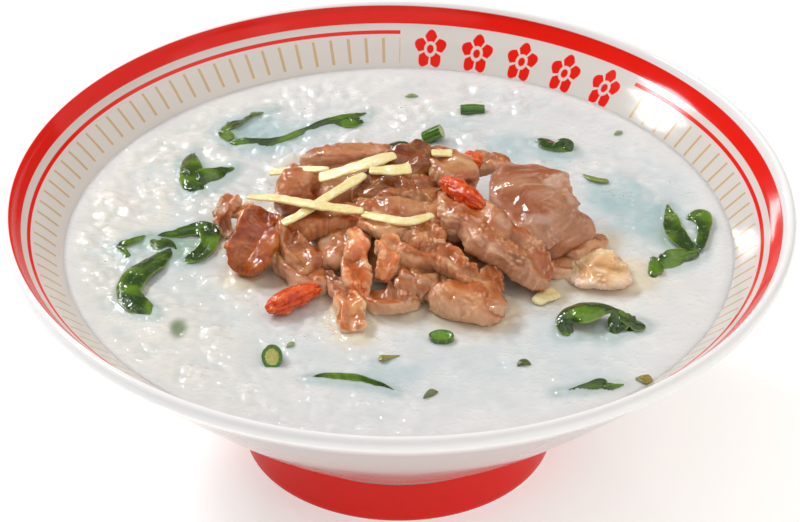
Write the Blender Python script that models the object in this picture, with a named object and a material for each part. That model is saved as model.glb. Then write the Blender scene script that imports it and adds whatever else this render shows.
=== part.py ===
"""A footed, flared bowl of rice congee topped with sliced pork, goji berries, ginger strips, leafy greens and chives.

All sizes below are in millimetres and are turned into metres when a mesh is made. The origin is the
centre of the foot's bottom plane, +Z is up, and +Y points away from the side that faces the diner.
"""

import math

import bmesh
import bpy
from mathutils import Matrix, Vector

MM = 0.001

# Bowl
RIM_RADIUS = 115.0
RIM_HEIGHT = 80.7
FOOT_RADIUS = 45.8
FOOT_INNER_RADIUS = 40.6
FOOT_NECK_RADIUS = 44.3
FOOT_HEIGHT = 13.4
FOOT_RECESS = 12.2
FLOOR_HEIGHT = 18.4
AROUND = 36

# Contents
LEVEL = 66.0
GAP = 0.4
STATIONS = {"pork": 7, "goji": 6, "ginger": 5, "leaf": 6, "chive": 3}
SIDES = {"pork": 6, "goji": 6, "ginger": 4, "leaf": 4, "chive": 8}
SQUARENESS = {"pork": 2.6, "goji": 2.0, "ginger": 3.2, "leaf": 2.4, "chive": 2.0}
BLUNTNESS = {"pork": 5.0, "goji": 3.4, "ginger": 14.0, "leaf": 5.0, "chive": 0.0}
LUMPS = {"pork": 0.07, "goji": 0.04, "ginger": 0.0, "leaf": 0.0, "chive": 0.0}

# Each garnish: name, kind, and its strips. A strip is a cup (how far its cross-section bends, as a
# share of its half width) and stations (x, y, height above the congee, width, thickness, roll in degrees).
# The order is that of the heap from the top down: a lower piece is trimmed round every piece above it.
GARNISHES = (
    ("goji_top", "goji", (
        (0, (
            (12.4, 7.9, 18.2, 4.5, 4.4, 0),
            (15.6, 3.7, 18.4, 6, 5.5, 0),
            (20, -1.1, 18, 6.6, 6, 0),
            (24.5, -5.4, 17, 4.6, 4.4, 0),
        )),
    )),
    ("goji_back", "goji", (
        (0, (
            (18.2, 24.6, 14, 4, 4, 0),
            (20.6, 24.1, 14, 6.5, 6, 0),
            (24.1, 22.6, 14, 5, 5, 0),
        )),
    )),
    ("ginger_c", "ginger", (
        (0, (
            (-8.8, 9.8, 20, 2.6, 1.8, 0),
            (-1.9, 8.9, 20.6, 3.4, 1.8, 0),
            (3.4, 9.8, 20.8, 4, 1.6, 0),
        )),
    )),
    ("ginger_b", "ginger", (
        (0, (
            (-23.6, 14.6, 14, 4.2, 2, 0),
            (-16.6, 14.4, 16.5, 3.4, 2, 0),
            (-8.8, 15.6, 18.6, 3.8, 2, 0),
            (-1, 18.6, 19.6, 3.2, 1.8, 0),
        )),
    )),
    ("ginger_e", "ginger", (
        (0, (
            (-44.5, 12.1, 9, 2.2, 1.8, 0),
            (-35.4, 5.3, 13, 2.8, 2, 0),
            (-26.4, -2.4, 16.3, 2.8, 2, 0),
            (-18.6, -4.5, 16.4, 3, 2, 0),
            (-10.3, -6.2, 16.4, 2.6, 1.8, 0),
        )),
    )),
    ("ginger_d", "ginger", (
        (0, (
            (-33.9, -7.3, 12.5, 2.4, 2, 0),
            (-27.5, -4.1, 14.5, 2.4, 2, 0),
            (-19.6, 2.2, 16.5, 2.6, 2, 0),
            (-9.8, 10.7, 18, 2.8, 2, 0),
        )),
    )),
    ("ginger_f", "ginger", (
        (0, (
            (-10.8, -6.3, 15.6, 2.4, 1.8, 0),
            (-3.9, -10.8, 16.9, 2.6, 1.8, 0),
            (2.9, -12.9, 17.4, 2.8, 1.8, 0),
            (9.8, -8.2, 16.6, 2.4, 1.8, 0),
        )),
    )),
    ("ginger_g", "ginger", (
        (0, (
            (9.3, 22.2, 18, 2.4, 1.8, 0),
            (15.6, 22.6, 17.6, 2.6, 1.8, 0),
        )),
    )),
    ("ginger_a", "ginger", (
        (0, (
            (-38.1, 25.1, 9, 2.6, 2, 0),
            (-32.5, 22.8, 11, 2.6, 2, 0),
            (-26.6, 20.8, 12.8, 2.4, 2, 0),
            (-20.6, 19, 14.2, 1.6, 1.6, 0),
        )),
    )),
    ("pork_crown", "pork", (
        (-0.15, (
            (-8.9, 3.8, 11.5, 9, 8, 0),
            (-6.9, 9.4, 13, 14, 9, 0),
            (-2.9, 15.8, 14, 15, 9, 0),
            (3.9, 22.1, 15, 13, 9, 0),
            (8.3, 29.7, 14.5, 7, 7, 0),
        )),
    )),
    ("pork_crown_right", "pork", (
        (0, (
            (7.9, 28.3, 13.5, 7, 6, 0),
            (11.8, 22.6, 14, 12, 8, 0),
            (15.7, 16.7, 14, 13, 8, 0),
            (19.7, 10.6, 13.5, 9, 7, 0),
        )),
    )),
    ("pork_crown_front", "pork", (
        (0, (
            (-12.3, 7.3, 10.5, 7, 7, 0),
            (-6.4, 7, 12, 13, 9, 0),
            (1, 6.7, 12.5, 15, 10, 0),
            (8.4, 8.7, 12.5, 13, 9, 0),
            (13.3, 10.9, 12, 7, 7, 0),
        )),
    )),
    ("pork_long", "pork", (
        (0, (
            (15.7, 4.4, 15, 9, 7, 0),
            (18.6, -3.4, 15, 13, 8, 0),
            (23.1, -9.8, 14, 15, 9, 0),
            (28.6, -14.7, 12, 16, 9, 0),
            (34.6, -18.2, 9, 15, 9, 0),
            (39.7, -20.7, 6, 13, 8, 0),
            (43.8, -22.6, 3.5, 8, 6, 0),
        )),
    )),
    ("pork_slab", "pork", (
        (0, (
            (33.5, 20.8, 12, 14, 7, 0),
            (36.4, 12.1, 12.5, 22, 9, 0),
            (39.4, 3.8, 11.5, 25, 10, 0),
            (43.5, -2.4, 9, 25, 10, 0),
            (47.7, -5.1, 5.5, 22, 9, 0),
            (49.8, -7.4, 3, 14, 6, 0),
        )),
    )),
    ("pork_bumpy_a", "pork", (
        (0, (
            (1, -9.8, 12, 6, 6, 0),
            (4.9, -12.5, 12.5, 9, 7.5, 0),
            (8.9, -15.2, 12, 8.5, 7.5, 0),
            (10.7, -17.2, 11, 5, 6, 0),
        )),
    )),
    ("pork_middle", "pork", (
        (0, (
            (-11.8, -6.1, 11.5, 5, 5, 0),
            (-5.9, -9, 12.5, 7.5, 6, 0),
            (0, -11.2, 13, 7.5, 6, 0),
            (3.9, -10.7, 13, 6, 5, 0),
        )),
    )),
    ("pork_ridge", "pork", (
        (0, (
            (-29.7, -6.8, 8, 6, 7, 0),
            (-26.2, -4.1, 9.5, 8, 8, 0),
            (-20.2, -2.1, 10.5, 10, 8, 0),
            (-13.8, -3.3, 11, 9, 8, 0),
            (-9.4, -6.6, 10.5, 7, 7, 0),
        )),
    )),
    ("pork_front_lobe_b", "pork", (
        (0, (
            (-5.9, -15.4, 12.5, 5, 5, 0),
            (-3.4, -17.6, 12, 7, 7, 0),
            (-2.7, -20.9, 9.5, 6, 7, 0),
            (-3.8, -24.2, 7, 5.5, 6, 0),
            (-4.5, -25.7, 5, 4, 5, 0),
        )),
    )),
    ("pork_front_lobe_a", "pork", (
        (0, (
            (-14.3, -8.5, 11.5, 3, 4, 0),
            (-12.8, -13.5, 10.5, 6, 6, 0),
            (-11.9, -18.4, 8.5, 8, 7, 0),
            (-12.4, -22.7, 6, 8.5, 7, 0),
            (-11.4, -27, 3.5, 8, 6, 0),
            (-10.5, -29.9, 2, 5, 4, 0),
        )),
    )),
    ("pork_pink_lobe", "pork", (
        (0, (
            (26, -21.7, 8, 3.5, 3.5, 0),
            (25.8, -23.4, 6.5, 6, 5, 0),
            (26.8, -25.5, 4.5, 7.5, 5.5, 0),
            (29.4, -26.9, 2, 5, 4, 0),
        )),
    )),
    ("pork_bumpy_b", "pork", (
        (0, (
            (0.5, -15.9, 10.5, 7, 7, 0),
            (4.9, -19.4, 10.5, 10, 8, 0),
            (10.9, -21.4, 10.5, 9, 8, 0),
            (15.8, -23.8, 9.5, 8, 8, 0),
            (19.3, -26.6, 8, 8, 7, 0),
            (21.8, -28.7, 6, 5, 5, 0),
        )),
    )),
    ("pork_left_slab", "pork", (
        (-0.25, (
            (-46.9, -15.7, 1.5, 7, 6, 0),
            (-45.2, -13.3, 5, 13, 7, 0),
            (-43, -9.5, 8.5, 15, 8, 0),
            (-41.4, -4.6, 10.5, 14, 8, 0),
            (-39.9, 0.6, 11, 7, 6, 0),
        )),
    )),
    ("pork_left_fold", "pork", (
        (0, (
            (-30.6, -2.1, 9.5, 6, 7, 0),
            (-31.2, -7.5, 8.5, 8, 8, 0),
            (-30.2, -12.5, 6.5, 9, 8, 0),
            (-26.8, -16.6, 4.5, 9, 7, 0),
            (-24.4, -20.6, 2.5, 6, 5, 0),
        )),
    )),
    ("pork_back_left", "pork", (
        (0, (
            (-28.7, 28.1, 8.5, 8, 7, 0),
            (-29.2, 21.9, 8, 12, 10, 0),
            (-30.8, 17, 6, 12, 10, 0),
            (-30.4, 13.5, 3, 10, 7, 0),
        )),
    )),
    ("pork_back_inner", "pork", (
        (0, (
            (-23.8, 15.5, 5, 8, 7, 0),
            (-18.8, 17.5, 7, 11, 8, 0),
            (-13.8, 20.1, 8.5, 11, 8, 0),
            (-9.9, 22.6, 9.5, 8, 7, 0),
        )),
    )),
    ("pork_back_right", "pork", (
        (0, (
            (19.7, 24.3, 11, 6, 5, 0),
            (25.7, 27.5, 10.5, 9, 6, 0),
            (32.6, 29.3, 9, 6, 5, 0),
        )),
    )),
    ("pork_back_ridge", "pork", (
        (0, (
            (-28.9, 39.4, 3, 6, 5, 0),
            (-21.9, 38.9, 5, 7, 6, 0),
            (-13.9, 40.1, 5.5, 7.5, 6, 0),
            (-6, 41.3, 5, 7, 6, 0),
            (-1, 42.1, 4.5, 5, 5, 0),
        )),
    )),
    ("pork_front_mid", "pork", (
        (0, (
            (6.9, -21.9, 7.5, 7, 6, 0),
            (6.9, -26.7, 6, 9, 7, 0),
            (9, -30, 3.5, 7, 6, 0),
        )),
    )),
    ("pork_front_small", "pork", (
        (0, (
            (1.5, -26.1, 7, 5, 5, 0),
            (2.5, -28.9, 5.5, 6.5, 6, 0),
            (3.5, -31.3, 3, 5, 5, 0),
        )),
    )),
    ("pork_front_right", "pork", (
        (0, (
            (10, -29.8, 4, 8, 7, 0),
            (14.9, -33, 4.5, 12, 9, 0),
            (20.9, -35, 4.2, 12, 8, 0),
            (25.9, -37, 2.8, 8, 6, 0),
            (28.4, -38.1, 1.5, 4, 4, 0),
        )),
    )),
    ("pork_left_foot", "pork", (
        (0, (
            (-34.7, -3.1, 7.5, 6, 8, 0),
            (-34.7, -8.8, 6, 7, 8, 0),
            (-33.3, -13.8, 4, 7, 7, 0),
            (-30.9, -17.9, 2, 5, 5, 0),
        )),
    )),
    ("pork_tail", "pork", (
        (0, (
            (-22.9, -18.4, 3, 5, 4, 0),
            (-19.9, -23, 2.8, 5, 4.5, 0),
            (-16.9, -27, 2.8, 6, 4.5, 0),
            (-14.4, -30.3, 3, 5, 4, 0),
        )),
    )),
    ("pork_front_left", "pork", (
        (0, (
            (-15.9, -28.3, 3, 5, 4, 0),
            (-14.9, -34.3, 3, 8, 5.5, 0),
            (-13.5, -40.1, 2.2, 9.5, 5.5, 0),
            (-12.5, -44.4, 1, 7, 4, 0),
        )),
    )),
    ("pork_left_curl", "pork", (
        (0, (
            (-50.4, 1.5, 1, 4, 4, 0),
            (-51.2, 6.1, 4, 5, 4, 0),
            (-50.6, 10.3, 6.5, 6, 4, 0),
            (-48.6, 14.5, 7, 6, 3.5, 0),
        )),
    )),
    ("pork_right", "pork", (
        (0, (
            (50.4, -14.9, 2, 10, 6, 0),
            (54.8, -14.9, 3, 15, 7.5, 0),
            (60.2, -15.1, 3.5, 18, 8, 0),
            (65.3, -14.6, 2.5, 12, 6, 0),
        )),
    )),
    ("goji_front", "goji", (
        (0, (
            (-37.7, -36.2, 2.6, 4.6, 4.4, 0),
            (-33.9, -33.7, 2.9, 6.6, 6, 0),
            (-27.9, -29.1, 3.2, 6.6, 6, 0),
            (-22.4, -25.9, 3.4, 4.4, 4, 0),
        )),
    )),
    ("ginger_bit", "ginger", (
        (0, (
            (39, -29.6, 0.8, 2.2, 2, 0),
            (41.9, -26.7, 1.2, 4.5, 2.4, 0),
            (45.5, -24.2, 0.8, 4, 2, 0),
        )),
    )),
    ("leaf_back_left", "leaf", (
        (0, (
            (-38.5, 73.2, 0.05, 1.4, 0.9, 0),
            (-44, 71, 0.35, 2.2, 0.9, 20),
            (-48.4, 67.6, 0.45, 2.4, 0.9, 20),
            (-52.4, 63.6, 0.45, 3, 0.9, 20),
            (-55.5, 60.1, 0.15, 2.4, 0.9, 0),
        )),
        (0, (
            (-54, 59.2, 0.05, 3, 0.9, 0),
            (-50.9, 54.8, 0.65, 4.4, 0.9, 0),
            (-45.9, 53.1, 1.15, 4.4, 0.9, 10),
            (-39.9, 54.1, 1.15, 3.2, 0.9, 20),
            (-33.9, 56.9, 1.05, 2.8, 0.9, 20),
            (-27.9, 61.4, 0.95, 2.8, 0.9, 20),
            (-21, 66.3, 0.85, 3.2, 0.9, 10),
            (-15, 68.4, 0.75, 3.6, 0.9, 0),
            (-10, 70.4, 0.15, 1.6, 0.9, 0),
        )),
    )),
    ("leaf_back_left_fold", "leaf", (
        (-0.2, (
            (-62.3, 49.9, -0.05, 2.4, 0.9, 0),
            (-62.9, 43.3, 0.65, 3.8, 0.9, 0),
            (-61.4, 35.3, 1.35, 6.4, 0.9, 0),
            (-60.4, 28.7, 1.05, 5, 0.9, 0),
        )),
        (0, (
            (-61.4, 29.5, 0.85, 3.6, 0.9, 0),
            (-57.4, 29.9, 1.25, 4.6, 0.9, 0),
            (-52.9, 35, 0.85, 3.6, 0.9, 0),
            (-49.3, 41.4, -0.05, 1.6, 0.9, 0),
        )),
    )),
    ("leaf_left_tip", "leaf", (
        (0, (
            (-74.3, 4.9, 0.05, 1.2, 0.9, 0),
            (-78.9, 1.3, 0.45, 1.6, 0.9, 0),
            (-81.8, -2.1, 0.55, 1.8, 0.9, 0),
            (-80.1, -6.3, 0.45, 1.4, 0.9, 0),
            (-79.2, -11.1, -0.05, 1.2, 0.9, 0),
        )),
    )),
    ("leaf_left", "leaf", (
        (-0.25, (
            (-67.4, -0.8, 0.75, 3.5, 0.9, 0),
            (-71.3, -9, 1.95, 7.2, 0.9, 0),
            (-75.6, -15, 1.95, 7.2, 0.9, 0),
            (-77.8, -20.9, 1.55, 6, 0.9, 0),
            (-77.4, -26.8, 1.15, 6, 0.9, 0),
            (-74.9, -31.2, 0.75, 5, 0.9, 0),
            (-71, -35.6, -0.05, 2, 0.9, 0),
        )),
        (-0.3, (
            (-70.4, -0.5, 0.55, 3, 0.9, 0),
            (-65.8, -1.6, 1.35, 9, 0.9, 0),
            (-61.4, -0.9, 1.15, 14, 0.9, 0),
            (-57.9, 2, 0.55, 12, 0.9, 0),
            (-55.5, 4.6, -0.15, 4, 0.9, 0),
        )),
    )),
    ("leaf_behind_heap", "leaf", (
        (0, (
            (-7.5, 49.1, 0.95, 2, 0.9, 0),
            (-4, 50, 1.35, 3.4, 0.9, 0),
            (-0.5, 51.8, 1.35, 3.2, 0.9, 0),
            (2.8, 52.4, 0.95, 1.4, 0.9, 0),
        )),
    )),
    ("leaf_back_right", "leaf", (
        (-0.2, (
            (37.5, 54.5, -0.15, 1.6, 0.9, 0),
            (41.4, 54.8, 0.75, 3.2, 0.9, 10),
            (45.4, 53.3, 1.15, 5, 0.9, 10),
            (48.9, 52.9, 0.75, 4.4, 0.9, 0),
            (51, 50.5, -0.15, 1.4, 0.9, 0),
        )),
    )),
    ("leaf_right", "leaf", (
        (0, (
            (78.6, 22.3, 0.05, 1, 0.9, 0),
            (79.2, 15.2, 0.75, 3, 0.9, 0),
            (79.7, 8.9, 0.95, 3.4, 0.9, 0),
            (81.3, 3.1, 1.15, 4.6, 0.9, 0),
            (83.8, -1.4, 1.15, 4.2, 0.9, 0),
            (86.3, -3.5, 0.55, 2, 0.9, 0),
        )),
        (0, (
            (88.9, 19.4, 0.15, 1.8, 0.9, 0),
            (88, 12.6, 1.15, 4.6, 0.9, 0),
            (88.4, 6.1, 1.15, 2.6, 0.9, 0),
            (87.4, 0.4, 0.95, 2.4, 0.9, 0),
            (85.4, -3, 0.55, 2.4, 0.9, 0),
        )),
        (0, (
            (86.4, -2, 0.55, 2.6, 0.9, 0),
            (82.4, -5.3, 0.95, 3.6, 0.9, 0),
            (78.3, -8.2, 1.05, 4.2, 0.9, 0),
            (75.1, -9.8, 1.05, 4.4, 0.9, 0),
            (73.5, -13.4, 0.85, 3.8, 0.9, 0),
            (73.4, -16.1, -0.05, 2.2, 0.9, 0),
        )),
    )),
    ("leaf_front_right", "leaf", (
        (-0.25, (
            (49, -45.8, -0.25, 2, 0.9, 0),
            (46.7, -43.5, 0.95, 4, 0.9, 0),
            (46.8, -40.8, 2.55, 6, 0.9, 0),
            (50.2, -38.8, 3.95, 7, 0.9, 0),
            (55.2, -37.6, 4.15, 7, 0.9, 0),
            (59.7, -36.9, 3.35, 5.4, 0.9, 0),
            (63.3, -37.2, 2.15, 4, 0.9, 0),
        )),
        (-0.2, (
            (61.8, -35.4, 1.95, 3.6, 0.9, 0),
            (65.1, -38.9, 1.95, 6.2, 0.9, 0),
            (65.1, -41.3, 1.15, 6.8, 0.9, 0),
            (63, -43.9, -0.15, 2.4, 0.9, 0),
        )),
    )),
    ("leaf_front_edge", "leaf", (
        (0, (
            (44, -71.9, -0.25, 1, 0.9, 0),
            (49, -71.2, 0.25, 2.2, 0.9, 20),
            (53.9, -70.3, 0.75, 4.4, 0.9, 10),
            (58.9, -70.3, 0.55, 2.6, 0.9, 0),
            (63.3, -68.9, -0.05, 1.2, 0.9, 0),
        )),
    )),
    ("leaf_front_left", "leaf", (
        (0, (
            (-23, -66.3, -0.25, 1, 0.9, 0),
            (-18, -66.1, 0.05, 1.7, 0.9, 30),
            (-13, -66.6, 0.05, 1.6, 0.9, 30),
            (-8, -68, 0.05, 1.4, 0.9, 30),
            (-3, -70.9, -0.35, 1, 0.9, 0),
        )),
    )),
    ("chive_stub_back", "chive", (
        (0, (
            (12.4, 57.6, 3.2, 4.8, 4.8, 0),
            (9.7, 58.6, 1.6, 4.8, 4.8, 0),
            (7.1, 59.6, -0.1, 4.8, 4.8, 0),
        )),
    )),
    ("chive_piece_back", "chive", (
        (0, (
            (25.5, 72.1, 1.6, 3.8, 3.8, 0),
            (22, 71.8, 1.2, 3.8, 3.8, 0),
            (18.4, 71.5, 0.7, 3.8, 3.8, 0),
        )),
    )),
    ("chive_cut_left", "chive", (
        (0, (
            (-35.4, -59.9, 2.4, 5.4, 5.4, 0),
            (-35.6, -56, 1.3, 5.4, 5.4, 0),
            (-35.8, -52.2, 0.2, 5.4, 5.4, 0),
        )),
    )),
    ("chive_cut_front", "chive", (
        (0, (
            (12, -46.2, 1.3, 6, 6, 0),
            (12.2, -45.6, -0.4, 6, 6, 0),
            (12.3, -45, -2.1, 6, 6, 0),
        )),
    )),
    ("chive_sliver_right", "chive", (
        (0, (
            (54.8, 37.8, -0.05, 1.6, 1.2, 0),
            (57.4, 34.8, 0.25, 2, 1.2, 0),
            (61.2, 34.2, 0.05, 2, 1.2, 0),
        )),
    )),
    ("chive_chip_front", "chive", (
        (0, (
            (33.6, -59.4, -0.15, 1.8, 1.2, 0),
            (35.4, -58.3, 0.15, 2.6, 1.2, 0),
            (36.6, -59.2, -0.15, 1.4, 1.2, 0),
        )),
    )),
    ("chive_chip_rim", "chive", (
        (0, (
            (65.5, -63.2, -0.05, 1.8, 1.2, 0),
            (67.5, -63.8, 0.25, 3.4, 1.2, 0),
            (69.4, -64, -0.05, 2.6, 1.2, 0),
        )),
    )),
    ("chive_chip_near", "chive", (
        (0, (
            (7, -74.5, -0.25, 1, 1.2, 0),
            (9, -73.1, 0.05, 2.2, 1.2, 0),
            (10.5, -72, -0.15, 1.8, 1.2, 0),
        )),
    )),
)

# The slices hidden under the heap, as one low mound: centre, half sizes across and deep, height, depth below the level
HEAP_BASE = (3.0, -6.0, 44.0, 24.0, 8.0, 3.0)


def bowl_profile():
    """(radius, height) points from the middle of the underside, round the foot and the lip, to the middle of the floor."""
    outer = [(0.0, FOOT_RECESS), (36.0, FOOT_RECESS), (38.8, FOOT_RECESS - 2.6), (FOOT_INNER_RADIUS, 0.0),
             (FOOT_RADIUS - 0.7, 0.0), (FOOT_RADIUS, 0.7)]
    start, pull_a, pull_b, end = (FOOT_NECK_RADIUS, FOOT_HEIGHT), (69.0, 30.0), (97.8, 60.4), (113.8, 75.9)
    for step in range(6):
        t = step / 5
        weights = ((1 - t) ** 3, 3 * (1 - t) ** 2 * t, 3 * (1 - t) * t ** 2, t ** 3)
        outer.append(tuple(sum(w * p[k] for w, p in zip(weights, (start, pull_a, pull_b, end))) for k in (0, 1)))
    lip = [(RIM_RADIUS, 77.9), (RIM_RADIUS - 0.5, 79.9), (RIM_RADIUS - 1.7, RIM_HEIGHT), (112.2, 80.0)]
    return outer + lip + inner_profile()


def inner_profile():
    """(radius, height) points of the wall inside the bowl, from below the lip to the middle of the floor."""
    return [(111.2, 78.0), (103.6, 71.6), (97.7, 66.35), (86.0, 53.8), (72.0, 41.4), (52.0, 28.3), (34.0, 21.2),
            (16.0, FLOOR_HEIGHT + 0.2), (0.0, FLOOR_HEIGHT)]


def congee_profile():
    """(radius, height) points of the congee: the floor and wall of the bowl moved in by the gap, and a flat top."""
    wall = inner_profile()[2:]
    moved = []
    for index, (r, z) in enumerate(wall):
        (r0, z0), (r1, z1) = wall[max(index - 1, 0)], wall[min(index + 1, len(wall) - 1)]
        length = math.hypot(r1 - r0, z1 - z0)
        moved.append((max(r + GAP * (z1 - z0) / length, 0.0), z - GAP * (r1 - r0) / length))
    moved[-1] = (0.0, FLOOR_HEIGHT + GAP)
    (r0, z0), (r1, z1) = moved[0], moved[1]
    edge = r0 + (r1 - r0) * (LEVEL - z0) / (z1 - z0)
    return moved[:0:-1] + [(edge, LEVEL), (0.0, LEVEL)]


def add_object(name, bm):
    """Puts a finished bmesh, in millimetres, into the scene as an object in metres."""
    bmesh.ops.recalc_face_normals(bm, faces=bm.faces)
    bm.transform(Matrix.Scale(MM, 4))
    mesh = bpy.data.meshes.new(name)
    bm.to_mesh(mesh)
    bm.free()
    obj = bpy.data.objects.new(name, mesh)
    bpy.context.scene.collection.objects.link(obj)
    return obj


def lathe(name, profile):
    """Turns a profile that starts and ends on the axis into a closed solid."""
    bm = bmesh.new()
    rings = []
    for r, z in profile:
        if r < 1e-6:
            rings.append([bm.verts.new((0.0, 0.0, z))])
        else:
            rings.append([bm.verts.new((r * math.cos(2 * math.pi * k / AROUND), r * math.sin(2 * math.pi * k / AROUND), z))
                          for k in range(AROUND)])
    for low, high in zip(rings, rings[1:]):
        for k in range(AROUND):
            n = (k + 1) % AROUND
            if len(low) == 1:
                bm.faces.new((low[0], high[n], high[k]))
            elif len(high) == 1:
                bm.faces.new((low[k], low[n], high[0]))
            else:
                bm.faces.new((low[k], low[n], high[n], high[k]))
    return add_object(name, bm)


def along(stations, share):
    """The station at this share of a strip's length, on a smooth curve through the given ones."""
    place = share * (len(stations) - 1)
    index = min(int(place), len(stations) - 2)
    t = place - index
    a, b, c, d = (stations[min(max(index + k, 0), len(stations) - 1)] for k in (-1, 0, 1, 2))
    return [0.5 * (2 * q + (r - p) * t + (2 * p - 5 * q + 4 * r - s) * t ** 2 + (3 * q - p - 3 * r + s) * t ** 3)
            for p, q, r, s in zip(a, b, c, d)]


def add_strip(bm, kind, cup, stations):
    """Sweeps a rounded slab along a strip's stations into bm."""
    count, sides = STATIONS[kind], SIDES[kind]
    power, blunt, lump = 2 / SQUARENESS[kind], BLUNTNESS[kind], LUMPS[kind]
    reach = math.cos(math.pi / sides) ** power
    shares = [0.5 - 0.5 * math.cos(math.pi * k / (count - 1)) if blunt else k / (count - 1) for k in range(count)]
    rows = [along(stations, share) for share in shares]
    points = [Vector((x, y, LEVEL + h)) for x, y, h, *_ in rows]
    rings = []
    for k, (share, point, row) in enumerate(zip(shares, points, rows)):
        tangent = (points[min(k + 1, count - 1)] - points[max(k - 1, 0)]).normalized()
        up = Vector((0.0, 0.0, 1.0)) if abs(tangent.z) < 0.85 else Vector((0.0, -1.0, 0.0))
        up = (up - tangent * up.dot(tangent)).normalized()
        up = Matrix.Rotation(math.radians(row[5]), 3, tangent) @ up
        side = tangent.cross(up)
        end = 1.0 if not blunt else max(0.45, (1 - abs(2 * share - 1) ** blunt) ** 0.5)
        half_w, half_t = row[3] / 2 * end / reach, row[4] / 2 * end / reach
        ring = []
        for s in range(sides):
            angle = 2 * math.pi * (s + 0.5) / sides
            c, n = math.cos(angle), math.sin(angle)
            swell = 1 + lump * math.sin(3 * angle + 2.1 * k + len(stations))
            across = math.copysign(abs(c) ** power, c) * swell
            out = math.copysign(abs(n) ** power, n) * swell
            bend = cup * half_w * across ** 2
            ring.append(bm.verts.new(point + side * (half_w * across) + up * (half_t * out + bend)))
        rings.append(ring)
    for low, high in zip(rings, rings[1:]):
        for s in range(sides):
            n = (s + 1) % sides
            bm.faces.new((low[s], low[n], high[n]))
            bm.faces.new((low[s], high[n], high[s]))
    for ring in (rings[0], rings[-1]):
        centre = bm.verts.new(sum((v.co for v in ring), Vector()) / sides)
        for s in range(sides):
            bm.faces.new((ring[s], ring[(s + 1) % sides], centre))


def swell_out(bm, grow):
    """Moves every face of a closed mesh outwards by grow."""
    bmesh.ops.recalc_face_normals(bm, faces=bm.faces)
    bm.normal_update()
    moves = [(vert, vert.normal * grow * min(vert.calc_shell_factor(), 2.0)) for vert in bm.verts]
    for vert, move in moves:
        vert.co += move


def garnish(name, kind, strips, grow=0.0):
    """One garnish as a closed solid: its strips, joined where there are several, larger all round by grow."""
    parts = []
    for cup, stations in strips:
        bm = bmesh.new()
        add_strip(bm, kind, cup, stations)
        swell_out(bm, grow)
        parts.append(add_object(name, bm))
    return combine(parts[0], parts[1:], "UNION") if len(parts) > 1 else parts[0]


def heap_base(name, grow=0.0):
    """The low mound of slices hidden under the heap."""
    x, y, across, deep, height, depth = HEAP_BASE
    bm = bmesh.new()
    bmesh.ops.create_uvsphere(bm, u_segments=12, v_segments=6, radius=1.0)
    bmesh.ops.triangulate(bm, faces=bm.faces)
    for vert in bm.verts:
        tall = height if vert.co.z > 0 else depth
        vert.co = Vector((x + vert.co.x * across, y + vert.co.y * deep, LEVEL + vert.co.z * tall))
    swell_out(bm, grow)
    return add_object(name, bm)


def keep_largest(mesh):
    """Removes every loose crumb that a cut leaves, so that one body stays."""
    bm = bmesh.new()
    bm.from_mesh(mesh)
    bmesh.ops.remove_doubles(bm, verts=bm.verts, dist=2e-6)
    bmesh.ops.dissolve_degenerate(bm, edges=bm.edges, dist=2e-6)
    left, bodies = set(bm.faces), []
    while left:
        stack, body = [left.pop()], []
        while stack:
            face = stack.pop()
            body.append(face)
            for edge in face.edges:
                for other in edge.link_faces:
                    if other in left:
                        left.discard(other)
                        stack.append(other)
        bodies.append(body)

    def volume(body):
        total = 0.0
        for face in body:
            first = face.verts[0].co
            for a, b in zip(face.verts[1:], face.verts[2:]):
                total += first.dot(a.co.cross(b.co)) / 6
        return abs(total)

    bodies.sort(key=volume, reverse=True)
    for body in bodies[1:]:
        bmesh.ops.delete(bm, geom=body, context="FACES")
    bmesh.ops.delete(bm, geom=[v for v in bm.verts if not v.link_faces], context="VERTS")
    bmesh.ops.triangulate(bm, faces=bm.faces)
    bm.to_mesh(mesh)
    bm.free()


def near(a, b):
    """True where the boxes round two objects meet."""
    boxes = []
    for obj in (a, b):
        spots = [v.co for v in obj.data.vertices]
        boxes.append([(min(p[k] for p in spots), max(p[k] for p in spots)) for k in range(3)])
    return all(p[0] <= q[1] and q[0] <= p[1] for p, q in zip(*boxes))


def combine(obj, tools, operation):
    """Cuts the tools from obj, or joins them to it, and keeps its largest body."""
    used = [tool for tool in tools if operation == "UNION" or near(obj, tool)]
    for tool in used:
        tool.hide_render = True
        tool.display_type = "WIRE"
        modifier = obj.modifiers.new(operation.title(), "BOOLEAN")
        modifier.operation = operation
        modifier.solver = "MANIFOLD"
        modifier.object = tool
    if used:
        bpy.context.view_layer.update()
        mesh = bpy.data.meshes.new_from_object(obj.evaluated_get(bpy.context.evaluated_depsgraph_get()))
        obj.modifiers.clear()
        obj.data = mesh
        keep_largest(mesh)
    if operation == "UNION":
        for tool in tools:
            bpy.data.objects.remove(tool)
    return obj


def main():
    for obj in list(bpy.data.objects):
        bpy.data.objects.remove(obj)
    lathe("bowl", bowl_profile())
    congee = lathe("congee", congee_profile())
    tools = []
    for name, kind, strips in GARNISHES:
        combine(garnish(name, kind, strips), tools, "DIFFERENCE")
        tools.append(garnish("tool_" + name, kind, strips, GAP))
    combine(heap_base("pork_hidden"), tools, "DIFFERENCE")
    tools.append(heap_base("tool_base", GAP))
    combine(congee, tools, "DIFFERENCE")
    for tool in tools:
        bpy.data.objects.remove(tool)


main()
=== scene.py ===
"""A bowl of rice congee under a heap of braised pork, with goji berries, ginger, greens and chives.

Shapes are worked out in millimetres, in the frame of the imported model, and written to the meshes in metres.
Heights of the food are counted from the level of the congee. A wave's last number picks its set of hills.
"""

import logging
import math
from collections.abc import Mapping, Sequence
from dataclasses import dataclass, field
from enum import Enum

import bpy
import numpy as np
from mathutils import Matrix
from numpy.typing import NDArray


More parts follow.
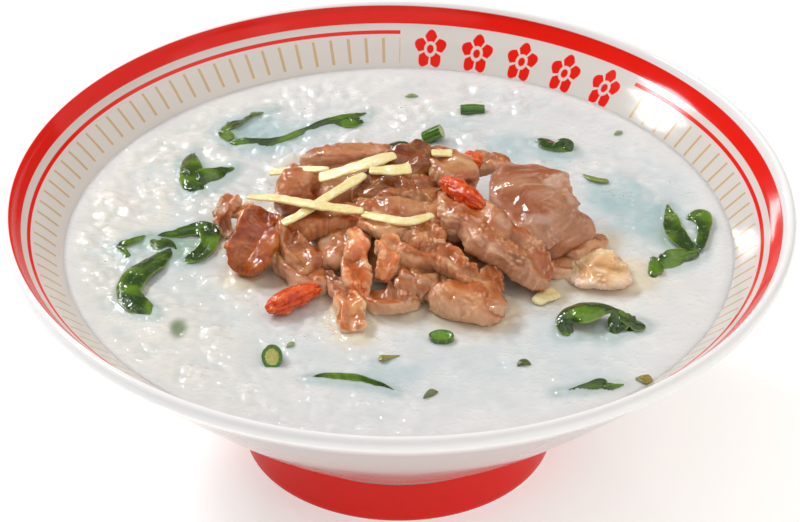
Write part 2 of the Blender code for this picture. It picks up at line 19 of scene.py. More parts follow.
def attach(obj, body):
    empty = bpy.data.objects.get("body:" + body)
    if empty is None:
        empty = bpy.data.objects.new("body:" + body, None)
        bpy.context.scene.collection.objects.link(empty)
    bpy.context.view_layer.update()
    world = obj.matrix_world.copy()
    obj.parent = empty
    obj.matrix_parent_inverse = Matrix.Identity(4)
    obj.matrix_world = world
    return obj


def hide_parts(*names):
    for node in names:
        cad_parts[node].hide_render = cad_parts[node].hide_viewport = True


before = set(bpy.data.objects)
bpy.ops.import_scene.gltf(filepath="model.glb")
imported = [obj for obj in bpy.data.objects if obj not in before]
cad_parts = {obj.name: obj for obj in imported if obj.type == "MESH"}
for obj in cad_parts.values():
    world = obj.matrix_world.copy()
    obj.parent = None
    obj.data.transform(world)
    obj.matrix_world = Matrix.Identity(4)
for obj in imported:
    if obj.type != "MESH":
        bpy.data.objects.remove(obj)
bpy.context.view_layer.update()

Array = NDArray[np.float64]
Pair = tuple[float, float]
Colour = tuple[float, float, float]
Spots = tuple[tuple[float, float, float, float], ...]
Socket = bpy.types.NodeSocket
LEVEL = 66.0
MM = 1000.0
UP = np.array((0.0, 0.0, 1.0))
WHITE = (1.0, 1.0, 1.0)
SCRAMBLE = (374761393, 2654435761, 2246822519, 3266489917)
SMALL_STRIP = (0.9, 0.0)


def hashed(cells: Array, seed: int, count: int) -> Array:
    """Gives every cell of a lattice its own fixed numbers, by multiplying and mixing its coordinates bit by bit.

    Args:
        cells: Whole-number coordinates, (..., axes).
        seed: Picks another set of numbers.
        count: How many numbers each cell gets.

    Returns:
        Numbers from 0 to 1, (..., count).
    """
    whole = cells.astype(np.int64).astype(np.uint32)
    start, spread, stretch, shift = SCRAMBLE
    mixed = np.full(whole.shape[:-1], (seed * start + 97) % 2**32, np.uint32)
    for axis in range(whole.shape[-1]):
        mixed = (mixed ^ whole[..., axis]) * np.uint32(spread)
        mixed ^= mixed >> np.uint32(15)
    numbers = []
    for _ in range(count):
        mixed = mixed * np.uint32(stretch) + np.uint32(shift)
        mixed ^= mixed >> np.uint32(13)
        numbers.append(mixed / (2.0**32 - 1))
    return np.stack(numbers, -1)


def waves(points: Array, size: float, seed: int = 0) -> Array:
    """Smooth random hills: each lattice corner has a random slope, and those round a point are blended.

    Args:
        points: Places, (..., 2 or 3).
        size: Distance between lattice corners.
        seed: Picks another set of hills.

    Returns:
        Heights from about -1 to 1, (...).
    """
    scaled = points / size
    cell = np.floor(scaled)
    part = scaled - cell
    fade = part**3 * (part * (part * 6 - 15) + 10)
    total = np.zeros(points.shape[:-1])
    for corner in np.ndindex(*(2,) * points.shape[-1]):
        offset = np.array(corner, float)
        slope = 2 * hashed(cell + offset, seed, points.shape[-1]) - 1
        total += np.prod(np.where(offset > 0, fade, 1 - fade), -1) * np.sum(slope * (part - offset), -1)
    return 1.7 * total


def grains(points: Array, size: float, length: float, seed: int) -> Array:
    """Soft grains of rice: each lattice square holds one oval mound turned its own way, and the highest counts.

    Args:
        points: Places on the surface, (n, 2).
        size: Side of a lattice square.
        length: Half length of a grain, as a share of the square.
        seed: Picks another scatter.

    Returns:
        Heights from 0 to 1, (n,).
    """
    cell = np.floor(points / size)
    best = np.zeros(len(points))
    for step in np.ndindex(3, 3):
        spot = cell + np.array(step) - 1
        luck = hashed(spot, seed, 5)
        away = (points - (spot + 0.05 + 0.9 * luck[:, :2]) * size) / (size * length)
        turn = luck[:, 2] * math.pi
        along = away[:, 0] * np.cos(turn) + away[:, 1] * np.sin(turn)
        across = away[:, 1] * np.cos(turn) - away[:, 0] * np.sin(turn)
        mound = np.clip(1 - along**2 - (across / (0.45 + 0.25 * luck[:, 3])) ** 2, 0, 1) ** 1.5
        best = np.maximum(best, mound * (0.35 + 0.65 * luck[:, 3]) * (luck[:, 4] > 0.2))
    return best


def grains_in_space(points: Array, size: float, seed: int) -> Array:
    """Rounded knobs: the distance to the nearest of scattered points, one to a cell, turned into a dome.

    Args:
        points: Places, (..., 3).
        size: Side of a cell.
        seed: Picks another scatter.

    Returns:
        Heights from 0 to 1, (...).
    """
    scaled = points / size
    cell = np.floor(scaled)
    near = np.full(points.shape[:-1], 9.0)
    for move in np.ndindex(3, 3, 3):
        spot = cell + np.array(move) - 1
        luck = hashed(spot, seed, 4)
        away = np.sum((scaled - spot - luck[..., :3]) ** 2, -1) / (0.55 + 0.45 * luck[..., 3]) ** 2
        near = np.minimum(near, away)
    return np.clip(1 - near / 0.6, 0, 1)


def step(value: Array, low: float, high: float) -> Array:
    """0 below low, 1 above high, and a smooth rise between them."""
    share = np.clip((value - low) / (high - low), 0, 1)
    return share * share * (3 - 2 * share)


def blend(first: Array | Colour, second: Array | Colour, share: Array) -> Array:
    """Goes from the first colour at share 0 to the second at share 1."""
    return np.asarray(first) + (np.asarray(second) - np.asarray(first)) * share[..., None]


def layered(first: Array | Colour, *layers: tuple[Array | Colour, Array]) -> Array:
    """The first colour under layers of others, each given as a colour and how much of it covers what is below."""
    for colour, share in layers:
        first = blend(first, colour, share)
    return first


def unit(vectors: Array) -> Array:
    """The same directions with length 1."""
    return vectors / np.maximum(np.linalg.norm(vectors, axis=-1, keepdims=True), 1e-9)


def drift(points: Array, size: float, seed: int) -> Array:
    """Three sets of hills at once, one for each direction."""
    return np.stack([waves(points, size, seed + k) for k in range(3)], -1)


def together(*values: Array | float) -> Array:
    """Stacks values of unlike shapes as the coordinates of places."""
    return np.stack(np.broadcast_arrays(*values), -1)


def rolled(along: Array, radius: float, turn: Array) -> Array:
    """Places on a cylinder: the way along it, and its radius times the cosine and the sine of the turn."""
    return together(along[:, None], radius * np.cos(turn), radius * np.sin(turn))


def around(sides: int) -> Array:
    """Angles evenly spaced round a full turn."""
    return np.linspace(0, 2 * math.pi, sides, endpoint=False)


def halfway(sides: int) -> Array:
    """The angles halfway between those evenly spaced round a full turn."""
    return 2 * math.pi * (np.arange(sides) + 0.5) / sides


def dimmed(colour: Colour, share: float) -> Colour:
    """The colour with this share of its light."""
    return tuple(part * share for part in colour)


def placed(name: str, data: bpy.types.ID) -> bpy.types.Object:
    """Puts a new object in the scene.

    Args:
        name: Its name.
        data: The mesh, lamp or camera that it holds.

    Returns:
        The object.
    """
    thing = bpy.data.objects.new(name, data)
    bpy.context.scene.collection.objects.link(thing)
    return thing


def stand(thing: bpy.types.Object, place: Array, right: Array, up: Array, back: Array) -> None:
    """Puts a lamp or a camera at a place in metres, turned by its right, upward and backward directions."""
    turn = Matrix([(*row, 0.0) for row in np.stack([right, up, back], 1)] + [(0, 0, 0, 1)])
    thing.matrix_world = Matrix.Translation(tuple(place)) @ turn


def smooth_line(stations: Array, shares: Array) -> Array:
    """Samples a Catmull-Rom curve that passes through every station.

    Args:
        stations: The given rows, (n, values).
        shares: Places along the curve, from 0 to 1.

    Returns:
        One row of values for each share.
    """
    place = np.clip(shares, 0, 1) * (len(stations) - 1)
    index = np.minimum(place.astype(int), len(stations) - 2)
    t = (place - index)[:, None]
    p, q, r, s = (stations[np.clip(index + k, 0, len(stations) - 1)] for k in (-1, 0, 1, 2))
    return 0.5 * (2 * q + (r - p) * t + (2 * p - 5 * q + 4 * r - s) * t**2 + (3 * q - p - 3 * r + s) * t**3)


@dataclass
class Skin:
    """The closed surface of one piece: points in mm, faces by size, and the colour and wear of each point."""

    points: Array
    faces: list[NDArray[np.int64]]
    shade: Array | None = None
    marks: dict[str, Array] = field(default_factory=dict)

    @classmethod
    def of_rings(cls, rings: Array, poles: Array, shade: Array | None = None, tips: Array | Colour = WHITE) -> "Skin":
        """Closes a grid of rings with one pole at each end.

        Args:
            rings: Points, (rings, sides, 3).
            poles: The two end points, (2, 3).
            shade: The rings' colours, (rings, sides, 3).
            tips: The poles' colours.

        Returns:
            The surface, its rings first and its poles last.
        """
        rows, sides, _ = rings.shape
        here = np.arange(sides)
        after = (here + 1) % sides
        base = (np.arange(rows - 1) * sides)[:, None]
        quads = np.stack([base + here, base + after, base + sides + after, base + sides + here], -1)
        last, top = (rows - 1) * sides, rows * sides
        caps = np.concatenate([
            np.stack([after, here, np.full(sides, top)], -1),
            np.stack([last + here, last + after, np.full(sides, top + 1)], -1),
        ])
        if shade is not None:
            shade = np.concatenate([shade.reshape(-1, 3), np.broadcast_to(tips, (2, 3))])
        return cls(np.concatenate([rings.reshape(-1, 3), poles]), [quads.reshape(-1, 4), caps], shade)

    def joined(self, other: "Skin") -> "Skin":
        """Both surfaces as one piece."""
        faces = self.faces + [face + len(self.points) for face in other.faces]
        return Skin(np.concatenate([self.points, other.points]), faces, np.concatenate([self.shade, other.shade]))

    def volume(self) -> float:
        """Signed volume: the sum over the faces' corner fans of the boxes they span with the origin.

        Returns:
            The volume, below 0 when the faces point inwards.
        """
        total = 0.0
        for face in self.faces:
            for k in range(1, face.shape[1] - 1):
                a, b, c = (self.points[face[:, j]] for j in (0, k, k + 1))
                total += float(np.sum(np.cross(a, b) * c)) / 6
        return total

    def put(self, name: str, slot: str, finish: bpy.types.Material, nodes: Sequence[str] = ()) -> bpy.types.Object:
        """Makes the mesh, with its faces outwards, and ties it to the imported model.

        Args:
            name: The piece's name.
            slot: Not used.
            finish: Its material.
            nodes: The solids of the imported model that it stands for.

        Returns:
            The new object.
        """
        turned = self.faces if self.volume() > 0 else [face[:, ::-1] for face in self.faces]
        sizes = np.concatenate([np.full(len(face), face.shape[1]) for face in turned])
        mesh = bpy.data.meshes.new(name)
        mesh.vertices.add(len(self.points))
        mesh.vertices.foreach_set("co", (self.points / MM).astype(np.float32).ravel())
        mesh.loops.add(int(sizes.sum()))
        mesh.loops.foreach_set("vertex_index", np.concatenate([face.ravel() for face in turned]).astype(np.int32))
        mesh.polygons.add(len(sizes))
        mesh.polygons.foreach_set("loop_start", (np.cumsum(sizes) - sizes).astype(np.int32))
        mesh.polygons.foreach_set("use_smooth", np.ones(len(sizes), bool))
        mesh.update(calc_edges=True)
        if self.shade is not None:
            colours = np.concatenate([np.clip(self.shade, 0, 1), np.ones((len(self.points), 1))], 1)
            shades = mesh.color_attributes.new("shade", "FLOAT_COLOR", "POINT")
            shades.data.foreach_set("color", colours.astype(np.float32).ravel())
        for mark, values in self.marks.items():
            mesh.attributes.new(mark, "FLOAT", "POINT").data.foreach_set("value", values.astype(np.float32))
        mesh.materials.append(finish)
        piece = placed(name, mesh)
        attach(piece, "root")
        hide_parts(*nodes)
        logging.info("%s: %d faces", name, len(sizes))
        return piece


@dataclass(frozen=True)
class Strip:
    """A strand of food: how far its edges curl, and stations (x, y, height, width, thickness, roll) along it."""

    cup: float
    stations: tuple[tuple[float, ...], ...]

    def at(self, shares: Array) -> Array:
        """The stations' values at these shares of the length."""
        return smooth_line(np.array(self.stations, float), shares)

    def ends(self, first: float = 0.0, last: float = 1.0) -> Array:
        """The points of the middle line at these two shares of its length."""
        return self.at(np.array((first, last)))[:, :3] + LEVEL * UP

    def length(self) -> float:
        """Length of the middle line."""
        return float(np.linalg.norm(np.diff(self.at(np.linspace(0, 1, 60))[:, :3], axis=0), axis=1).sum())

    def frame(self, shares: Array) -> tuple[Array, Array, Array, Array]:
        """Where the middle line runs and how the strip is turned there.

        Args:
            shares: Places along the length.

        Returns:
            The middle points, the sideways and upward directions, and the stations' values.
        """
        values = self.at(shares)
        heading = unit(self.at(shares + 0.03)[:, :3] - self.at(shares - 0.03)[:, :3])
        up = np.where(np.abs(heading[:, 2:]) < 0.85, UP, (0.0, -1.0, 0.0))
        up = unit(up - heading * np.sum(up * heading, -1, keepdims=True))
        roll = np.radians(values[:, 5:6])
        up = up * np.cos(roll) + np.cross(heading, up) * np.sin(roll)
        return values[:, :3] + LEVEL * UP, np.cross(heading, up), up, values

    def rings(self, shares: Array, swell: Array, sides: int, square: float) -> Array:
        """Carries a superellipse along the strip.

        Across and out are the signed powers of cosine and sine, and the edges lift by cup times across squared.

        Args:
            shares: Where each ring stands.
            swell: Each ring's size as a share of the stations' width and thickness.
            sides: Points round a ring.
            square: 2 gives an ellipse, and more a rounded box.

        Returns:
            The rings' points, (shares, sides, 3).
        """
        middle, side, up, values = self.frame(shares)
        angle = halfway(sides)
        across = np.sign(np.cos(angle)) * np.abs(np.cos(angle)) ** (2 / square)
        out = np.sign(np.sin(angle)) * np.abs(np.sin(angle)) ** (2 / square)
        half_w = (values[:, 3] / 2 * swell)[:, None]
        half_t = (values[:, 4] / 2 * swell)[:, None]
        lift = half_t * out + self.cup * half_w * across**2
        return carried(middle, side, up, half_w * across, lift)


def carried(middle: Array, side: Array, up: Array, across: Array, lift: Array) -> Array:
    """Points this far sideways and upwards of each middle point."""
    return middle[:, None] + side[:, None] * across[..., None] + up[:, None] * lift[..., None]


def strand(*stations: Sequence[float], cup: float = 0.0) -> Strip:
    """A strip whose stations may leave out the roll, or the thickness and the roll."""
    return Strip(cup, tuple((*row, *SMALL_STRIP[len(row) - 4 :]) for row in stations))


def outward(rings: Array) -> Array:
    """Unit normals of a grid of rings: the cross product of its two directions, away from each ring's middle.

    Args:
        rings: Points, (rings, sides, 3).

    Returns:
        A direction for each point.
    """
    normal = unit(np.cross(np.roll(rings, -1, 1) - np.roll(rings, 1, 1), np.gradient(rings, axis=0)))
    away = np.sum(normal * (rings - rings.mean(1, keepdims=True)), -1).mean()
    return normal if away > 0 else -normal


def rounded(rows: int, blunt: float) -> tuple[Array, Array]:
    """Ring places crowded towards both ends, and the rings' sizes.

    A size is the root of 1 minus a power of the distance from the middle, so the ends close like rounded ones.

    Args:
        rows: How many rings.
        blunt: The power.

    Returns:
        The places, from 0 to 1, and the sizes.
    """
    shares = 0.5 - 0.5 * np.cos(math.pi * (np.arange(rows) + 0.6) / (rows + 0.2))
    return shares, np.sqrt(1 - np.abs(2 * shares - 1) ** blunt)


class Wiring:
    """The node tree of one material, with short ways to add and join its nodes."""

    def __init__(self, name: str) -> None:
        """Starts a material.

        Args:
            name: Its name.
        """
        self.material = bpy.data.materials.new(name)
        self.material.use_nodes = True
        self.tree = self.material.node_tree
        self.shader = self.tree.nodes["Principled BSDF"]
        self.place = self.add("ShaderNodeTexCoord").outputs["Object"]

    def add(self, kind: str, **settings: object) -> bpy.types.Node:
        """Adds a node.

        Args:
            kind: Its type.
            settings: Its options.

        Returns:
            The node.
        """
        node = self.tree.nodes.new(kind)
        for name, value in settings.items():
            setattr(node, name, value)
        return node

    def feed(self, socket: Socket, value: object) -> None:
        """Gives a socket a number, a colour or another node's output."""
        if isinstance(value, Socket):
            self.tree.links.new(value, socket)
        else:
            socket.default_value = value

    def shade(self, **values: object) -> None:
        """Sets the shader's own sockets, named with underscores for spaces."""
        for name, value in values.items():
            self.feed(self.shader.inputs[name.replace("_", " ")], value)

    def math(self, operation: str, *values: object) -> Socket:
        """Adds one sum.

        Args:
            operation: What is worked out.
            values: Numbers or outputs.

        Returns:
            The result.
        """
        node = self.add("ShaderNodeMath", operation=operation)
        for socket, value in zip(node.inputs, values):
            self.feed(socket, value)
        return node.outputs[0]

    def times(self, first: object, *others: object) -> Socket:
        """Multiplies everything together.

        Args:
            first: A number or an output.
            others: More of them.

        Returns:
            The product.
        """
        for other in others:
            first = self.math("MULTIPLY", first, other)
        return first

    def distance(self, x: Socket, y: Socket) -> Socket:
        """The root of the sum of two squares."""
        return self.math("SQRT", self.math("ADD", self.times(x, x), self.times(y, y)))

    def rise(self, value: Socket, low: float, high: float, least: float = 0.0, most: float = 1.0) -> Socket:
        """A smooth rise between two values.

        Args:
            value: What it follows.
            low: Where it starts.
            high: Where it ends.
            least: The result up to low.
            most: The result from high on.

        Returns:
            The result.
        """
        node = self.add("ShaderNodeMapRange", interpolation_type="SMOOTHSTEP")
        for socket, number in zip(node.inputs, (value, low, high, least, most)):
            self.feed(socket, number)
        return node.outputs[0]

    def within(self, value: Socket, low: float, high: float, soft: float = 0.1) -> Socket:
        """1 between low and high, with soft edges."""
        fall = self.rise(value, high - soft, high + soft, 1.0, 0.0)
        return self.times(self.rise(value, low - soft, low + soft), fall)

    def mix(self, share: object, first: object, second: object, kind: str = "MIX") -> Socket:
        """Mixes two colours.

        Args:
            share: How much the second one counts.
            first: A colour or an output.
            second: A colour or an output.
            kind: How they are mixed.

        Returns:
            The mixed colour.
        """
        node = self.add("ShaderNodeMix", data_type="RGBA", blend_type=kind)
        for index, value in ((0, share), (6, first), (7, second)):
            self.feed(node.inputs[index], value if isinstance(value, (Socket, float)) else (*value, 1.0))
        return node.outputs[2]

    def noise(self, size: float, detail: float = 3.0, rough: float = 0.5) -> Socket:
        """Cloudy noise.

        Args:
            size: About how wide its largest blobs are, in mm.
            detail: How many finer layers it has.
            rough: How strong they are.

        Returns:
            Values from 0 to 1.
        """
        node = self.add("ShaderNodeTexNoise")
        self.feed(node.inputs["Vector"], self.place)
        for name, value in (("Scale", MM / size), ("Detail", detail), ("Roughness", rough)):
            self.feed(node.inputs[name], value)
        return node.outputs["Fac"]

    def cells(self, size: float) -> Socket:
        """Distance to the nearest of many scattered points.

        Args:
            size: About how far apart they are, in mm.

        Returns:
            The distance as a share of size.
        """
        node = self.add("ShaderNodeTexVoronoi", feature="SMOOTH_F1")
        self.feed(node.inputs["Vector"], self.place)
        self.feed(node.inputs["Scale"], MM / size)
        return node.outputs["Distance"]

    def attribute(self, name: str, output: str = "Color") -> Socket:
        """A value kept in the mesh."""
        return self.add("ShaderNodeAttribute", attribute_name=name).outputs[output]

    def bump(self, height: Socket, depth: float, under: Socket | None = None) -> Socket:
        """Relief.

        Args:
            height: Heights from 0 to 1.
            depth: What a height of 1 stands for, in mm.
            under: Another relief that this one lies on.

        Returns:
            The bent normals.
        """
        node = self.add("ShaderNodeBump")
        self.feed(node.inputs["Distance"], depth / MM)
        self.feed(node.inputs["Height"], height)
        if under is not None:
            self.feed(node.inputs["Normal"], under)
        return node.outputs["Normal"]


@dataclass(frozen=True)
class Moist:
    """A moist food: a mottled colour, a gloss that wavers, light that sinks in, and fine relief. Sizes are mm."""

    name: str
    gloss: Pair = (0.2, 0.45)
    mottle: Pair = (0.2, 1.2)
    pits: Pair = (0.12, 0.9)
    ripples: Pair = (0.2, 2.6)
    sink: Pair = (0.3, 1.5)
    sink_tint: Colour = (1.0, 0.4, 0.2)
    coat: Pair = (0.5, 0.12)
    shine: float = 0.5
    glints: Pair = (0.25, 2.0)
    patch: float = 6.0
    waver: float = 4.0

    def material(self) -> bpy.types.Material:
        """Builds the material.

        Returns:
            The material.
        """
        w = Wiring(self.name)
        amount, size = self.mottle
        tone = w.rise(w.noise(size, 4.0, 0.6), 0.3, 0.7, 1 - amount, 1 + amount)
        grey = w.add("ShaderNodeCombineColor")
        for socket in grey.inputs:
            w.feed(socket, tone)
        colour = w.mix(1.0, w.attribute("shade"), grey.outputs[0], "MULTIPLY")
        relief = w.bump(w.noise(self.ripples[1], 2.0), self.ripples[0])
        relief = w.bump(w.noise(self.pits[1], 3.0, 0.6), self.pits[0], relief)
        depth, spacing = self.glints
        rough = w.rise(w.noise(self.patch, 1.0), 0.46, 0.6)
        skin = w.bump(w.noise(spacing, 1.0, 0.4), depth)
        skin = w.bump(w.times(w.noise(spacing / 2.4, 1.0, 0.4), rough), depth * 0.7, skin)
        w.shade(
            Base_Color=colour, Roughness=w.rise(w.noise(self.waver, 3.0), 0.35, 0.65, *self.gloss), Normal=relief,
            Subsurface_Weight=self.sink[0], Subsurface_Scale=self.sink[1] / MM, Subsurface_Radius=self.sink_tint,
            Coat_Weight=self.coat[0], Coat_Roughness=self.coat[1], Coat_Normal=skin, Specular_IOR_Level=self.shine,
        )
        return w.material


@dataclass(frozen=True)
class Porridge:
    """Rice congee: milky and translucent, with broken grains just under a wet skin. Sizes are mm."""

    name: str = "rice_congee"
    coat: float = 1.0
    coat_roughness: float = 0.04
    gloss: Pair = (0.3, 0.55)
    grain: float = 0.12
    bead: float = 0.9
    sink: float = 3.5
    patch: float = 9.0
    milky: Colour = (0.955, 0.965, 0.965)
    rice: Colour = WHITE
    creamy: Colour = (0.985, 0.975, 0.95)

    def material(self) -> bpy.types.Material:
        """Builds the material: cells for the grains, and clouds of several sizes for the beads of the wet skin.

        Returns:
            The material.
        """
        w = Wiring(self.name)
        calm = w.attribute("calm", "Fac")
        lively = w.rise(calm, 0.0, 1.0, 1.0, 0.1)
        rice = w.rise(w.cells(3.4), 0.1, 0.8, 1.0, 0.0)
        cloud = w.noise(self.patch, 5.0, 0.6)
        patches = w.rise(w.noise(self.patch, 2.0), 0.5, 0.6)
        beads = w.times(w.rise(w.noise(1.7, 1.5, 0.6), 0.52, 0.66), patches)
        body = w.mix(w.rise(rice, 0.2, 0.9, 0.0, 0.35), self.milky, self.rice)
        body = w.mix(w.rise(cloud, 0.35, 0.65, 0.0, 0.5), body, self.creamy)
        colour = w.mix(1.0, w.attribute("shade"), body, "MULTIPLY")
        relief = w.bump(w.times(rice, lively), self.grain)
        drops = w.times(w.noise(1.2, 1.0, 0.4), lively, patches)
        ripples = w.times(w.noise(1.3, 1.5, 0.5), w.rise(w.noise(5.0, 1.0), 0.4, 0.6, 0.3, 1.0))
        swells, skin = w.noise(3.4, 2.0, 0.5), None
        for height, share in ((w.times(beads, lively), 0.6), (swells, 0.5), (drops, 0.35), (ripples, 0.32)):
            skin = w.bump(height, self.bead * share, skin)
        w.shade(
            Base_Color=colour, Roughness=w.rise(cloud, 0.35, 0.65, *self.gloss), Normal=relief,
            Subsurface_Weight=0.75, Subsurface_Scale=self.sink / MM, Subsurface_Radius=(1.0, 0.95, 0.85),
            Coat_Weight=self.coat, Coat_Roughness=self.coat_roughness, Coat_Normal=skin,
        )
        return w.material


@dataclass(frozen=True)
class Glaze:
    """White glazed porcelain, printed inside with a red band, a thin line, gold ticks and a row of blossoms, with
    painted shade on its flank and painted light on its rim.

    Sizes are mm and degrees.
    """

    name: str = "glazed_porcelain"
    white: Colour = (0.735, 0.70, 0.66)
    # The flank is a darkened copy of the white glaze, as painted shade, and the rim a lightened copy, as painted
    # light.
    flank: Colour = (0.48, 0.43, 0.41)
    rim: Colour = (0.93, 0.93, 0.93)
    red: Colour = (0.92, 0.013, 0.005)
    gold: Colour = (0.64, 0.44, 0.24)
    middle_x: float = -1.0
    band: Pair = (108.4, 111.9)
    line: Pair = (105.7, 106.7)
    ticks: Pair = (98.6, 104.7)
    tick_turn: float = 3.0
    tick_phase: float = 0.77
    tick_width: float = 0.9
    opening: Pair = (47.0, 89.4)
    blossoms: Pair = (47.75, 88.25)
    blossom_turn: float = 8.1
    blossom_radius: float = 102.2
    blossom_size: float = 5.4
    foot: Pair = (0.5, 12.6)
    foot_inside: float = 43.2
    rim_light_starts: Pair = (77.4, 78.8)
    flank_shade_ends: Pair = (70.0, 78.0)
    gloss: float = 0.1

    def folded(self, w: Wiring, angle: Socket, start: float, turn: float) -> Socket:
        """The angle from the middle of the nearest repeat of a pattern."""
        return w.math("SUBTRACT", w.math("WRAP", w.math("SUBTRACT", angle, start), turn, 0.0), turn / 2)

    def blossom(self, w: Wiring, radius: Socket, azimuth: Socket) -> Socket:
        """Five-petalled blossoms: a petal's edge is a cosine of five times the angle round the blossom's centre.

        Args:
            w: The material's wiring.
            radius: Distance from the bowl's axis.
            azimuth: Angle round it.

        Returns:
            1 on the print.
        """
        low, high = self.blossoms
        turned = self.folded(w, azimuth, low, self.blossom_turn)
        u = w.times(turned, self.blossom_radius * math.pi / 180 / self.blossom_size)
        v = w.times(w.math("SUBTRACT", radius, self.blossom_radius), 1 / self.blossom_size)
        away = w.distance(u, v)
        petals = w.math("COSINE", w.times(w.math("ARCTAN2", u, v), 5.0))
        edge = w.math("MULTIPLY_ADD", petals, 0.13, 0.8)
        leafy = w.rise(w.math("SUBTRACT", away, edge), -0.03, 0.03, 1.0, 0.0)
        slit = w.times(w.rise(petals, -0.93, -0.80), w.rise(away, 0.32, 0.38))
        heart = w.within(away, -1.0, 0.2, 0.03)
        return w.times(leafy, w.math("MAXIMUM", slit, heart), w.within(azimuth, low, high, 0.02))

    def material(self) -> bpy.types.Material:
        """Builds the material.

        Returns:
            The material.
        """
        w = Wiring(self.name)
        split = w.add("ShaderNodeSeparateXYZ")
        w.feed(split.inputs[0], w.place)
        x = w.math("MULTIPLY_ADD", split.outputs[0], MM, -self.middle_x)
        y, z = (w.times(output, MM) for output in split.outputs[1:])
        radius = w.distance(x, y)
        azimuth = w.math("DEGREES", w.math("ARCTAN2", y, x))
        fold = w.math("ABSOLUTE", self.folded(w, azimuth, self.tick_phase, self.tick_turn))
        inside = w.attribute("inside", "Fac")
        closed = w.math("SUBTRACT", 1.0, w.within(azimuth, *self.opening, 0.05))
        half = self.tick_width / 2
        tick = w.rise(w.times(fold, w.times(radius, math.pi / 180)), half - 0.06, half + 0.06, 1.0, 0.0)
        tick = w.times(tick, w.times(w.within(radius, *self.ticks), closed))
        printed = w.math("MAXIMUM", w.within(radius, *self.band), w.times(w.within(radius, *self.line), closed))
        printed = w.times(w.math("MAXIMUM", printed, self.blossom(w, radius, azimuth)), inside)
        foot = w.times(w.within(z, *self.foot), w.rise(radius, self.foot_inside - 0.2, self.foot_inside + 0.2))
        body = w.mix(w.noise(40.0, 3.0), self.white, dimmed(self.white, 0.975))
        # Painted shade on the outer flank, painted light on the rim and on the top of the inner lip.
        outer = w.mix(w.rise(z, *self.flank_shade_ends), self.flank, self.rim)
        body = w.mix(inside, outer, w.mix(w.rise(z, *self.rim_light_starts), body, self.rim))
        body = w.mix(w.times(tick, inside), body, self.gold)
        red = w.mix(w.noise(6.0, 3.0), self.red, dimmed(self.red, 0.9))
        colour = w.mix(w.math("MAXIMUM", printed, foot), body, red)
        w.shade(
            Base_Color=colour, Roughness=w.rise(w.noise(15.0, 3.0), 0.3, 0.7, self.gloss, self.gloss + 0.05),
            Normal=w.bump(w.noise(14.0, 2.0), 0.03), Specular_IOR_Level=0.3,
        )
        return w.material


@dataclass(frozen=True)
class Bowl:
    """The footed bowl, turned from one profile of (radius, height) points. Sizes are mm."""

    sides: int = 256
    samples: tuple[int, ...] = (64, 40, 25, 50)
    lip_outside: int = 15
    underside: tuple[Pair, ...] = (
        (0.0, 12.2), (12, 12.2), (24, 12.2), (33, 12.15), (36.6, 11.6), (38.2, 10.2), (38.9, 8), (39.6, 5), (40.2, 2),
        (40.5, 0.8), (40.9, 0.25), (41.6, 0), (44.6, 0), (45.3, 0.2), (45.7, 0.8), (45.75, 2), (45.4, 5), (44.9, 8.5),
        (44.5, 11.5), (44.4, 12.5), (44.2, 13.0), (44.3, 13.4),
    )
    flank: tuple[Pair, ...] = ((44.3, 13.4), (69.0, 30.0), (97.8, 60.4), (113.8, 75.9))
    lip: tuple[Pair, ...] = (
        (113.8, 75.9), (114.7, 77.0), (115, 78.2), (114.85, 79.4), (114.2, 80.3), (113.3, 80.7), (112.5, 80.45),
        (111.8, 79.6), (111.2, 78.5),
    )
    wall: tuple[Pair, ...] = (
        (111.2, 78.5), (108.4, 75.4), (106.2, 73.6), (103.6, 71.6), (100.6, 69), (97.7, 66.35), (94, 62.4),
        (86, 53.8), (76, 44.6), (64, 35.6), (52, 28.3), (40, 22.9), (27, 19.7), (13, 18.5), (0.0, 18.4),
    )

    def profile(self) -> tuple[Array, Array]:
        """The whole profile, from the middle of the underside round the lip to the middle of the floor.

        The flank is a cubic curve of four control points, and the rest are smooth lines through their stations.

        Returns:
            The (radius, height) points, and 1 for those of the inside.
        """
        under, flank, lip, wall = (np.linspace(0, 1, count) for count in self.samples)
        a, b, c, d = (np.array(p) for p in self.flank)
        t = flank[1:, None]
        points = np.concatenate([
            smooth_line(np.array(self.underside), under),
            a * (1 - t) ** 3 + 3 * b * t * (1 - t) ** 2 + 3 * c * t**2 * (1 - t) + d * t**3,
            smooth_line(np.array(self.lip), lip)[1:],
            smooth_line(np.array(self.wall), wall)[1:],
        ])
        return points, (np.arange(len(points)) >= len(under) + len(t) + self.lip_outside).astype(float)

    def build(self) -> None:
        """Turns the profile about the axis and glazes it."""
        profile, inside = self.profile()
        turn = 2 * math.pi * np.arange(self.sides) / self.sides
        ring, height = profile[1:-1, :1], profile[1:-1, 1:]
        rings = together(ring * np.cos(turn), ring * np.sin(turn), height)
        skin = Skin.of_rings(rings, np.array([(0, 0, profile[0, 1]), (0, 0, profile[-1, 1])]))
        skin.marks["inside"] = np.concatenate([np.repeat(inside[1:-1], self.sides), inside[[0, -1]]])
        skin.put("bowl_porcelain", "glazed_porcelain", Glaze().material(), ["bowl"])


def spots_of(strips: Sequence[Strip], highest: float) -> Array:
    """Round spots where strips touch or nearly touch the congee.

    Args:
        strips: The strips.
        highest: Height of a strip's underside above the congee from which it no longer counts.

    Returns:
        (x, y, radius) of each spot.
    """
    rows = np.concatenate([strip.at(np.linspace(0, 1, 6 * len(strip.stations))) for strip in strips])
    low = rows[rows[:, 2] - rows[:, 4] / 2 < highest]
    return np.stack([low[:, 0], low[:, 1], 0.42 * low[:, 3]], 1)


def reach(points: Array, spots: Array) -> Array:
    """Distance from each point to the edge of the nearest round spot, worked out in blocks.

    Args:
        points: Places, (n, 2).
        spots: (x, y, radius) of each spot.

    Returns:
        A distance for each point, below 0 inside a spot.
    """
    x, y, radius = spots.T
    blocks = (np.hypot(block[:, :1] - x, block[:, 1:] - y) - radius for block in np.array_split(points, 40))
    return np.concatenate([block.min(1) for block in blocks])


